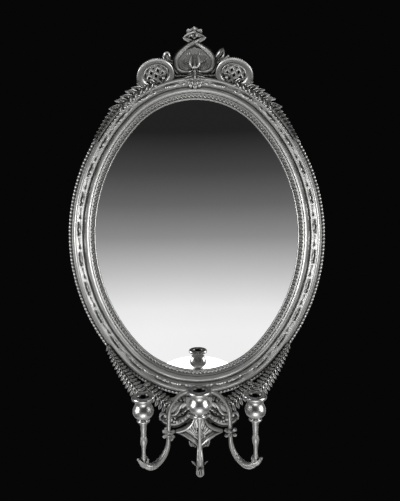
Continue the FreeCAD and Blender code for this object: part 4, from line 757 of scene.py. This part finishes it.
# %% The two sprigs differ: a ring bud on the left, a pointed leaf on the right
bm = bmesh.new()
ridge(bm, 1, SPRIG_FOOT, 30, (-54, 462, 3.6, 7), (-66, 466, 3.0, 8), (-78, 467, 2.6, 8),
    (-83, 475, 3.2, 9.5), (-78.5, 484.5, 4.0, 10), (-70, 485, 3.8, 9.5), (-66, 477, 2.8, 7),
    (-68, 471, 1.6, 5))
ridge(bm, 1, SPRIG_FOOT, 8, (-66, 469, 4.0, 4), (-73, 475, 7.5, 6), (-77, 480, 5.0, 5))
stroke(bm, ROUND, level(1, 14, (-54, 457, 2.4, 2.4), (-74, 463, 2.2, 2.2), (-91, 466.5, 1.8, 1.8)), 8)
knob(bm, -91.0, 466.4, 14.5, 3.6, 1.0)
carved("carved_sprig_left", bm, "crest_sprig_left")

bm = bmesh.new()
stroke(bm, VEINED, level(1, SPRIG_FOOT, (54, 466, 5.0, 6), (61, 475, 8.6, 8), (68, 484, 9.2, 8.5),
    (73, 492, 6.4, 7), (75.5, 498.5, 1.2, 3)), 26, teeth=4, depth=0.16)
ridge(bm, 1, SPRIG_FOOT, 16, (62, 465, 2.6, 7), (72, 470, 3.4, 10), (77, 478, 3.2, 11),
    (77.5, 488, 2.8, 10), (75.5, 497, 1.2, 5))
stroke(bm, ROUND, level(1, 14, (56, 458, 2.4, 2.4), (76, 468, 2.2, 2.2), (91, 478, 2.5, 2.5)), 8)
carved("carved_sprig_right", bm, "crest_sprig_right")

# %% Shell, leaves and beaded rail where the crest meets the frame
bm = bmesh.new()
knob(bm, 0, 395.5, 40, 10.8, 1.0, 14)
knob(bm, 0, 387.5, 40, 6.5, 0.9, 12)
for side in (1, -1):
    knob(bm, 10.8 * side, 389.5, 41, 5.7, 1.1, 12)
    for spread in (2.2, 6.2):
        stroke(bm, HALF_ROUND, [(spread * 0.4 * side, 385, 44, 0.8, 3),
            (spread * 0.9 * side, 393, 46, 1.5, 5.6), (spread * side, 402, 43, 0.9, 4)], 9)
carved("carved_shell", bm, "crest_shell")

bm = bmesh.new()
for side in (1, -1):
    stroke(bm, VEINED, level(side, 38, (1, 411, 4.0, 12), (12, 406.5, 6.4, 15), (23, 404.5, 5.6, 14),
        (33, 404, 1.2, 8)), 20, teeth=3, depth=0.2)
    ridge(bm, side, 34, 8, (5, 417, 1.8, 8), (13, 418.5, 2.8, 10), (22, 416, 0.8, 6))
stroke(bm, HALF_ROUND, [(0, 401, 36, 2.6, 12), (0, 411, 36, 4.6, 17), (0, 429, 20, 3.6, 12)], 12)
carved("carved_leaf_pair", bm, "crest_leaf_pair")

bm = bmesh.new()
stroke(bm, ROUND, level(1, 19, (-55, 422, 2.2, 2.2), (0, 423.5, 2.2, 2.2), (55, 422, 2.2, 2.2)), 12)
for side in (1, -1):
    for i in range(4):
        knob(bm, (31 + 7.2 * i) * side, 422.5 + 0.8 * (i % 2), 20.5, 3.1, 0.9, 8)
carved("carved_rail", bm, "crest_rail")

# %% [markdown]
# ## Shoulders and sprays
#
# On each shoulder sits an oval cartouche: a broad rim with two ridges, and in it a
# lattice that the carver pierced right through. A spray runs down from it along the
# frame's outer edge. It starts from a smooth bolster against the moulding, with large
# leaves that point outward and small teeth further down, so the silhouette is toothed.

# %% Points on the cartouche's tilted oval
CARTOUCHE = (102.0, 417.5)
CARTOUCHE_TILT = math.radians(-20)


def on_cartouche(half_length, half_height, degrees):
    """Point (x, z) on an oval that is tilted about the cartouche's middle."""
    x = half_length * math.cos(math.radians(degrees))
    z = half_height * math.sin(math.radians(degrees))
    turn = CARTOUCHE_TILT
    return (CARTOUCHE[0] + x * math.cos(turn) - z * math.sin(turn),
            CARTOUCHE[1] + x * math.sin(turn) + z * math.cos(turn))


def cartouche_rim(bm):
    """Two ridges: a broad outer one with a scalloped edge, and a narrow inner one."""
    for half_length, half_height, width, base, rise, steps in (
            (41.6, 35.2, 8.2, 28, 14.5, 64), (33.2, 27.6, 2.6, 30, 13, 48)):
        rows = []
        for i in range(25):
            x, z = on_cartouche(half_length, half_height, 15 * i)
            lean = 2.0 * math.sin(math.radians(15 * i))
            broad = width * (1 + 0.16 * math.cos(math.radians(15 * i + 20)))
            rows.append((x, z, base - lean, broad, rise))
        stroke(bm, FLAT_RIM if width > 5 else HALF_ROUND, rows, steps)
    for i in range(32):
        x, z = on_cartouche(49.0, 42.6, -60 + 6.4 * i)
        knob(bm, x, z, 38, 2.3, 1.3, 8)
    leaf(bm, on_cartouche(31, 24, 205), on_cartouche(13, 11, 240), 2.5, 5.4, 34, 10, 4, 4)
    knob(bm, *on_cartouche(24, 20, 228), 42, 4.4, 1.0)


def cartouche_lattice(bm):
    """Bars in both diagonal directions, each as long as its chord of the oval."""
    a, b, pitch = 33.0, 27.5, 14.6
    for slant in (1.25, -1.25):
        for k in range(-4, 5):
            cut = (k + 0.5) * pitch * math.hypot(1, slant)
            # the line z = slant * x + cut meets the oval x2/a2 + z2/b2 = 1
            p, q, r = 1 / a ** 2 + slant ** 2 / b ** 2, 2 * slant * cut / b ** 2, cut ** 2 / b ** 2 - 1
            under = q * q - 4 * p * r
            if under <= 0:
                continue
            ends = []
            for sign in (-1, 1):
                x = (-q + sign * math.sqrt(under)) / (2 * p)
                z = slant * x + cut
                ends.append((CARTOUCHE[0] + x * math.cos(CARTOUCHE_TILT) - z * math.sin(CARTOUCHE_TILT),
                    CARTOUCHE[1] + x * math.sin(CARTOUCHE_TILT) + z * math.cos(CARTOUCHE_TILT)))
            stroke(bm, HALF_ROUND, [(*ends[0], 33, 4.1, 3.8), (*ends[1], 33, 4.1, 3.8)], 6)


on_both_sides("shoulder_scroll", cartouche_rim)
on_both_sides("shoulder_trellis", cartouche_lattice)


# %% A spray: leaflets along a bent spine
def on_spine(spine, s):
    """Point and direction at share s of a spine bent through three (x, z) points."""
    a, b, c = spine
    point = [(1 - s) ** 2 * a[i] + 2 * s * (1 - s) * b[i] + s * s * c[i] for i in (0, 1)]
    way = [(1 - s) * (b[i] - a[i]) + s * (c[i] - b[i]) for i in (0, 1)]
    size = math.hypot(*way)
    return point, (way[0] / size, way[1] / size)


def spray(bm, spine, reach, lobes, side, h, thickness, rake, slim):
    """Leaflets on one side of the spine; reach is their length at the root and the tip."""
    for i in range(lobes):
        s = (i + 0.4) / lobes
        (x, z), (tx, tz) = on_spine(spine, s)
        long = reach[0] + (reach[1] - reach[0]) * s
        nx, nz = -tz * side, tx * side
        tip = (x + (nx + rake * tx * 0.75) * long, z + (nz + rake * tz * 0.75) * long)
        root = (x - tx * 0.2 * long, z - tz * 0.2 * long)
        leaf(bm, root, tip, -0.12 * long * side, max(slim * long * 0.62, 2.4), h, thickness, 3, lift=1.2)
        knob(bm, x + nx * 0.3 * long, z + nz * 0.3 * long, h + 0.8 * thickness, 1.7, 1.0, 6)


def stem(bm, spine, width, h, thickness):
    """Smooth stem along the spine; width is its half width at the root and the tip."""
    rows = []
    for i in range(9):
        x, z = on_spine(spine, i / 8)[0]
        rows.append((x, z, h, width[0] + (width[1] - width[0]) * i / 8, thickness))
    stroke(bm, HALF_ROUND, rows, 24)


BOLSTER_FOOT, BOLSTER_RISE = 16, 33.0


def shoulder_spray(bm):
    spine = [(66 - 35.5 * i / 8, 56 + 0.1 * i, 15.5 - 1.1 * i) for i in range(9)]
    stroke(bm, SLOPED,
        [(*on_frame(turn, offset), BOLSTER_FOOT, width, BOLSTER_RISE) for turn, offset, width in spine], 40)
    for i in range(7):
        turn = 68.4 - 3.6 * i
        leaf(bm, on_frame(turn, 45), on_frame(turn - 6.0, 85 + 2 * (i % 2)), 3.4, 7.2, 28, 18, 5, lift=-10)
        leaf(bm, on_frame(turn - 1, 60), on_frame(turn - 6.5, 40.5), -2.0, 4.6, 41, 10, 4, lift=0)
        knob(bm, *on_frame(turn - 1.6, 47), 48, 3.4, 0.9, 8)
        knob(bm, *on_frame(turn - 3.0, 62), 43, 2.8, 0.9, 8)
    for i in range(10):
        turn = 43.6 - 1.3 * i
        shrink = 1 - 0.06 * i
        leaf(bm, on_frame(turn, 47), on_frame(turn - 2.8, 79 - 1.1 * i), 1.6, 4.6 * shrink, 36, 15, 4,
            lift=-12)
        knob(bm, *on_frame(turn - 0.5, 45), 49, 3.2 * shrink, 0.9, 8)


on_both_sides("shoulder_spray", shoulder_spray)

# %% [markdown]
# ## The apron
#
# Two long fern leaves hang from the frame's lower sides and point at the pendant.
# Between them come a tuft of leaves, a C-scroll with berries, and the pendant: a
# lozenge with hollow sides, a raised rim, a fan of ribs and a small leaf cup below.

# %% Fern leaves and the tufts between them
FERN_SPINE = ((240.0, -294.0), (206.0, -362.0), (152.0, -426.0))
TUFT_SPINE = ((146.0, -398.0), (112.0, -432.0), (74.0, -462.0))


def fern(bm):
    stem(bm, FERN_SPINE, (7.0, 15.0), 12.0, 9.0)
    stem(bm, FERN_SPINE, (2.6, 2.4), 15.4, 11.0)
    spray(bm, FERN_SPINE, (10.0, 27.0), 15, 1, 16.5, 9.0, rake=0.6, slim=0.52)
    spray(bm, FERN_SPINE, (9.0, 24.0), 15, -1, 16.5, 9.0, rake=0.6, slim=0.52)
    leaf(bm, (160, -416), (140, -434), 0.0, 9.0, 17, 9.0, 4, 2.0)


def tuft(bm):
    stem(bm, TUFT_SPINE, (13.0, 14.0), 8.0, 8.0)
    stem(bm, TUFT_SPINE, (3.0, 2.6), 10.0, 12.0)
    spray(bm, TUFT_SPINE, (20.0, 27.0), 8, 1, 11.0, 11.0, rake=0.5, slim=0.5)
    spray(bm, TUFT_SPINE, (18.0, 22.0), 8, -1, 11.0, 11.0, rake=0.5, slim=0.5)


on_both_sides("apron_spray", fern)
on_both_sides("apron_foliage", tuft)


# %% C-scroll with its berries, volute and inner curl
APRON_FOOT = 9                 # how far the back of these carvings stands from the wall


def lower_scroll(bm):
    ridge(bm, 1, 8, 14, (22, -444, 6.0, 2), (40, -456, 16.0, 4), (62, -474, 18.0, 4), (84, -482, 8.0, 3))
    stroke(bm, BAND, level(1, APRON_FOOT, (17, -470, 3.0, 11), (32, -488, 6.4, 15), (55, -501, 8.5, 17),
        (76, -503, 8.0, 17), (94, -497, 6.0, 15), (104, -485, 4.0, 12)), 30)
    curl(bm, HALF_ROUND, 92, -485.5, 9, -30, 1.25, 12.0, 4.2, 3.6, 1.8, 16, 30)
    ridge(bm, 1, APRON_FOOT, 22, (28, -446, 2.0, 9), (39, -449, 3.6, 14), (49, -458, 4.4, 17),
        (55, -470, 4.2, 17), (64, -479, 3.4, 14), (75, -480, 1.6, 9))
    curl(bm, HALF_ROUND, 48, -477, 9, 60, 0.8, 9.5, 5.0, 2.2, 1.4, 9, 18)
    ridge(bm, 1, APRON_FOOT, 14, (84, -472, 2.4, 9), (82, -458, 4.2, 12), (72, -447, 4.4, 13),
        (58, -445, 3.4, 11))
    for i in range(5):
        leaf(bm, (34 + 9 * i, -450 + 2 * i), (46 + 11 * i, -432 - 3 * i), 2.4, 5.0, 10, 11, 4, 2)
        leaf(bm, (18 + 7 * i, -452 - 5 * i), (34 + 7 * i, -465 - 4 * i), -2.4, 5.0, 11, 9, 4, 2)
    for i in range(9):
        share = i / 8
        x = 27 + 62 * share
        z = -480 - 17 * math.sin(math.pi * min(share * 1.05, 1.0))
        knob(bm, x, z, 24, 3.6 if i % 2 else 4.6, 1.0, 8)
    for x, z in ((64, -488), (73, -487), (82, -485)):
        knob(bm, x, z, 20, 3.4, 1.0, 8)


on_both_sides("apron_scroll", lower_scroll)

# %% Bow above the pendant
bm = bmesh.new()
for side in (1, -1):
    ridge(bm, side, 12, 16, (2, -490, 2.6, 13), (10, -487.5, 4.4, 18), (20, -483, 4.6, 19),
        (28, -479, 2.8, 14), (31, -475, 1.2, 9))
    curl(bm, HALF_ROUND, 25 * side, -476, 12, -60 if side > 0 else 240, 0.7 * side, 4.4, 1.6, 2.0, 1.0, 13,
        12)
knob(bm, 0, -488, 23, 4.4, 1.0)
carved("carved_apron_bow", bm, "apron_bow")

# %% Pendant: rim, fan of ribs, leaf cup
bm = bmesh.new()
for side in (1, -1):
    stroke(bm, BAND, level(side, APRON_FOOT, (14, -491, 3.2, 12), (19.5, -504, 4.0, 15),
        (30, -514.5, 4.4, 16), (45, -522, 4.0, 15), (62.5, -526, 1.8, 10)), 26)
    stroke(bm, BAND, level(side, APRON_FOOT, (62.5, -526.4, 2.0, 10), (47, -530, 4.4, 15),
        (33, -537.5, 5.2, 17), (19, -547.5, 5.2, 17), (6, -560, 3.4, 14)), 26)
knob(bm, 0, -557, 17, 5.0, 1.0)
carved("carved_pendant_rim", bm, "pendant_frame")

bm = bmesh.new()
for i in range(9):
    lean = (i - 4) / 4
    top = (9 + 29 * abs(lean)) * math.copysign(1, lean) if i != 4 else 0.0
    head = -493 - 27 * abs(lean) ** 1.2
    stroke(bm, HALF_ROUND, [(1.5 * lean, -549, 10, 0.9, 3),
        (0.55 * top, 0.5 * (head - 549) + 4 * abs(lean), 10, 2.6, 3.8),
        (top * 0.95, head + 2, 10, 3.4, 3.6)], 10)
stroke(bm, VEINED, level(1, 12, (0, -552, 2.0, 5), (0, -541, 5.4, 8), (0, -527, 1.0, 4)), 10)
backing = bmesh.ops.create_circle(bm, cap_ends=True, segments=4, radius=1.0)
bmesh.ops.transform(bm,
    matrix=Matrix.Translation(wall(0, -522, 10.5)) @ Matrix.Diagonal((44 * MM, 1, 32 * MM,
    1)) @ Matrix.Rotation(math.radians(90), 4, "X"), verts=backing["verts"])
carved("carved_pendant_fan", bm, "pendant_shell")

bm = bmesh.new()
for side in (1, -1):
    leaf(bm, (27 * side, -541), (9 * side, -569.5), 2.0 * side, 8.0, 10, 12, 4)
    curl(bm, HALF_ROUND, 18.5 * side, -557, 10, 90 - 60 * side, -0.9 * side, 7.0, 2.4, 2.6, 1.5, 13, 14)
leaf(bm, (0, -552), (0, -572), 0.0, 8.0, 10, 13, 3)
carved("carved_calyx", bm, "pendant_calyx")

# %% [markdown]
# ## Candle arms
#
# Every arm is the same bent bar in its own upright plane: out over a small elbow, down,
# and round into a bowl from which the turned stem rises. We march along its straight
# runs and bends as the smith would, model the arm with x as its reach, and only then
# turn it to its place over the bracket's socket. A leaf clasp grips the straight drop,
# and an acanthus sheath wraps the bowl.

# %% The bar's route, the same as that of the solid
ARM_TOP, SWIVEL_STAND, SOCKET_SPACING, SIDE_AZIMUTH = -402.0, 58.0, 22.0, 63.6
ELBOW, DROP, SWEEP, BOWL, CROWN_TURN, BOWL_TURN = 10.5, 64.0, 58.0, 22.0, 88.0, 25.0
COLLAR_HEIGHT = 8.0
ARMS = {"left": (49.5, 88.0, -SIDE_AZIMUTH, -SOCKET_SPACING),
        "centre": (36.5, 112.0, 0.0, 0.0),
        "right": (49.5, 88.0, SIDE_AZIMUTH, SOCKET_SPACING)}


def bar_route(crown):
    """Points (reach, z) along the bent bar, and the names of where its parts begin."""
    x, z, heading = 0.0, ARM_TOP - ELBOW - 1.0, 90.0
    points, marks = [(x, z)], {}
    for name, length, turn in (("start", 1.0, 0.0), ("elbow", ELBOW, -90.0), ("crown", crown, -CROWN_TURN),
                               ("drop", DROP, 0.0), ("sweep", SWEEP, CROWN_TURN - BOWL_TURN),
                               ("bowl", BOWL, 90.0 + BOWL_TURN)):
        marks[name] = len(points) - 1
        steps = max(1, round(abs(turn) / 11)) if turn else 2
        for _ in range(steps):
            angle = math.radians(heading)
            if not turn:
                x, z = x + length / steps * math.cos(angle), z + length / steps * math.sin(angle)
            else:
                side = math.copysign(1, turn)
                cx, cz = x - side * length * math.sin(angle), z + side * length * math.cos(angle)
                heading += turn / steps
                angle = math.radians(heading)
                x, z = cx + side * length * math.sin(angle), cz - side * length * math.cos(angle)
            points.append((x, z))
    return points, marks


def turned(bm, profile, x, z, steps=40):
    """Spin a profile of (radius, height) about the upright axis at x."""
    ring = [bm.verts.new(wall(x + r, z + up)) for r, up in profile]
    edges = [bm.edges.new(pair) for pair in zip(ring, ring[1:])]
    bmesh.ops.spin(bm, geom=ring + edges, cent=wall(x, z), axis=(0, 0, 1), angle=2 * math.pi, steps=steps,
        use_merge=True, use_duplicate=False)
    bmesh.ops.remove_doubles(bm, verts=bm.verts, dist=0.005 * MM)


def to_socket(bm, azimuth, spacing):
    """Turn an arm's piece to its azimuth and set it over its socket."""
    place = Matrix.Translation(wall(spacing, 0,
        SWIVEL_STAND)) @ Matrix.Rotation(math.radians(azimuth - 90), 4, "Z")
    bmesh.ops.transform(bm, matrix=place, verts=bm.verts)


# %% Bar, clasp, leaf sheath and stem
SIDE_STEM = [(0.0, 0.0), (4.8, 0.0), (6.2, 4), (5.0, 9), (4.3, 16), (4.4, 26), (5.6, 34), (7.6, 40.5),
    (8.4, 47), (7.6, 53), (6.2, 57.5), (5.6, 60), (6.6, 62), (5.9, 64), (6.4, 70), (7.2, 78), (6.6, 82),
    (8.0, 85), (8.0, 93), (0.0, 93)]
CENTRE_STEM = [(0.0, 0.0), (4.6, 0.0), (6.4, 6), (6.8, 11), (4.4, 17), (3.4, 26), (3.3, 38), (3.9, 46),
    (4.4, 52), (3.8, 60), (3.2, 74), (3.2, 92), (4.2, 100), (6.4, 106), (6.4, 117), (0.0, 117)]


def clasp(bm, x, z):
    """Four rounded leaves knotted round the bar, two in the arm's plane and two across it."""
    for up in (-4, 4):
        knob(bm, x, z + up, 0, 6.9, 1.0, 12)
    for out, across in ((1, 0), (-1, 0), (0.3, 1), (-0.3, -1)):
        rise = 3.5 if out > 0 else -3.5
        for way, long in ((rise + 7, 14.5), (rise - 7, 14.0)):
            stroke(bm, HALF_ROUND, [(x + 2 * out, z + 0.2 * way, 3 * across - 3, 2.2, 5),
                (x + 0.6 * long * out, z + 0.8 * way, 7 * across - 3, 4.4, 6.5),
                (x + long * out, z + way, 11 * across - 3, 3.6, 6),
                (x + 1.15 * long * out, z + 1.1 * way, 12 * across - 2, 0.8, 3)], 9)


def sheath(bm, points, marks):
    """Leaf lobes that lap round the sweep and the bowl, and tips that curl off the bar."""
    last = len(points) - 1
    for i in range(marks["sweep"] + 2, last):
        (x, z), (x1, z1) = points[i], points[i + 1]
        size = math.hypot(x1 - x, z1 - z)
        tx, tz = (x1 - x) / size, (z1 - z) / size
        swell = 0.6 + 0.5 * math.sin(math.pi * (i - marks["sweep"]) / (last - marks["sweep"]))
        for across in (1, -1):
            for out in (1, -0.6):
                nx, nz = -tz * out, tx * out
                stroke(bm, HALF_ROUND,
                    [(x + 1.5 * nx, z + 1.5 * nz, 2 * across, 2.6 * swell, 5.4 * swell * across),
                    (x1 + 4.2 * nx, z1 + 4.2 * nz, 2.4 * across, 3.0 * swell, 5.0 * swell * across),
                    (x1 + 6 * tx + 6.2 * swell * nx, z1 + 6 * tz + 6.2 * swell * nz, 2.4 * across, 0.8,
                    2.6 * across)], 6)
    fx, fz = points[-1]
    for h, long in ((0, 1.0), (4.5, 0.7), (-4.5, 0.7)):
        stroke(bm, HALF_ROUND, [(fx - 5, fz - 13, h - 2, 5.0, 6), (fx + 4, fz - 8, h - 2, 5.4, 6),
            (fx + 9, fz - 2, h - 2, 4.2, 5), (fx + 9 + 5 * long, fz + 4 * long, h - 1, 2.6, 4),
            (fx + 9 + 8 * long, fz + 7 * long, h, 0.6, 1.5)], 12)
        stroke(bm, HALF_ROUND, [(fx - 6, fz - 6, h - 2, 3.4, 5), (fx - 8, fz + 1, h - 2, 2.6, 4),
            (fx - 7, fz + 8 * long, h - 1, 0.6, 1.5)], 8)


def arm(bm, crown, stem_profile, slim, broad):
    points, marks = bar_route(crown)
    foot, drop, sweep = points[-1], points[marks["drop"]], points[marks["sweep"]]
    rows = []
    for i, (x, z) in enumerate(points):
        share = max(0.0, (i - marks["sweep"]) / (len(points) - 1 - marks["sweep"]))
        swell = math.sin(math.pi * min(1.0, share * 1.05)) ** 0.8
        rows.append((x, z, 0, slim + (7.6 - slim) * swell, slim + (broad - slim) * swell))
    stroke(bm, ROUND, rows, 3 * len(rows))
    clasp(bm, drop[0] + 0.72 * (sweep[0] - drop[0]), drop[1] + 0.72 * (sweep[1] - drop[1]))
    sheath(bm, points, marks)
    if broad > 9:
        bx, bz = points[marks["bowl"] - 1]
        for across in (1, -1):
            stroke(bm, HALF_ROUND, [(bx, bz - 3, 4 * across, 5.0, 5 * across),
                (bx + 1, bz + 3, 12 * across, 3.6, 4 * across),
                (bx + 2, bz + 9, 19 * across, 0.8, 2 * across)], 8)
    turned(bm, stem_profile, foot[0], foot[1], 24)


for side, (crown, stem_height, azimuth, spacing) in ARMS.items():
    bm = bmesh.new()
    arm(bm, crown, *((CENTRE_STEM, 3.8, 9.6) if side == "centre" else (SIDE_STEM, 5.0, 7.6)))
    to_socket(bm, azimuth, spacing)
    finished("silvered_arm_" + side, bm, ARM, ["candle_arm_" + side], "arm_" + side)

# %% [markdown]
# ## Collars and cups
#
# The collars and cups are turned, so each is one profile spun about its stem. The cup
# swells in a bulb, draws in at the neck, and opens to a fat rolled rim. The bore in it is
# painted near black as shade, which an attribute on the mesh tells the finish.

# %% Turned profiles, heights in mm from the seat
COLLAR_PROFILE = [(4.05, 0), (11.6, 0), (14.2, 0.7), (15.3, 2.2), (15.6, 4.2), (14.9, 5.9), (13.2, 6.7),
                  (12.2, 7.2), (12.0, 8), (4.05, 8), (4.05, 0)]
CUP_PROFILE = [(4.05, 0), (10.6, 0), (12.2, 0.4), (12.4, 1.4), (14.6, 2.4), (18.6, 4.8), (22.0, 8.2),
    (24.4, 12.4), (25.4, 17.4), (25.0, 22.4), (23.2, 27.2), (21.0, 31.2), (19.6, 35.2), (19.2, 38.8),
    (19.8, 41.6), (22.0, 44.0), (25.0, 45.6), (27.2, 47.4), (28.0, 49.8), (27.6, 52.2), (26.0, 54.4),
    (23.6, 55.6), (20.6, 55.7), (17.8, 54.9), (15.6, 53.4), (13.8, 50.6), (12.7, 48.0), (11.1, 46.6),
    (11.1, 31), (0.0, 31)]
SEAT_RISE = 5.0                # the stem shows a little below the collar
SHADED_RADIUS, SHADE_DEPTH = 15.4, 26.0  # radius and depth of the bore that is painted black as shade


def paint_bore_shade(bm, x):
    """Mark the candle's bore, which is painted black as shade, in an attribute of its own."""
    painted_bore_shade = bm.verts.layers.float.new("painted_bore_shade")
    rim = max(vert.co.z for vert in bm.verts)
    for vert in bm.verts:
        radius = math.hypot(vert.co.x - x * MM, vert.co.y) / MM
        # Painted shade: vertices of the bore are marked so that their colour turns near black.
        if radius < SHADED_RADIUS and vert.co.z > rim - SHADE_DEPTH * MM:
            vert[painted_bore_shade] = 1.0


for side, (crown, stem_height, azimuth, spacing) in ARMS.items():
    x, z = bar_route(crown)[0][-1]
    for name, profile, up, node in (
            ("turned_collar_", COLLAR_PROFILE, stem_height + SEAT_RISE, "cup_collar_"),
            ("turned_cup_", CUP_PROFILE, stem_height + SEAT_RISE + COLLAR_HEIGHT, "candle_cup_")):
        bm = bmesh.new()
        turned(bm, profile, x, z + up, 56)
        if node == "candle_cup_":
            paint_bore_shade(bm, x)
        to_socket(bm, azimuth, spacing)
        finished(name + side, bm, CUP, [node + side], "arm_" + side)
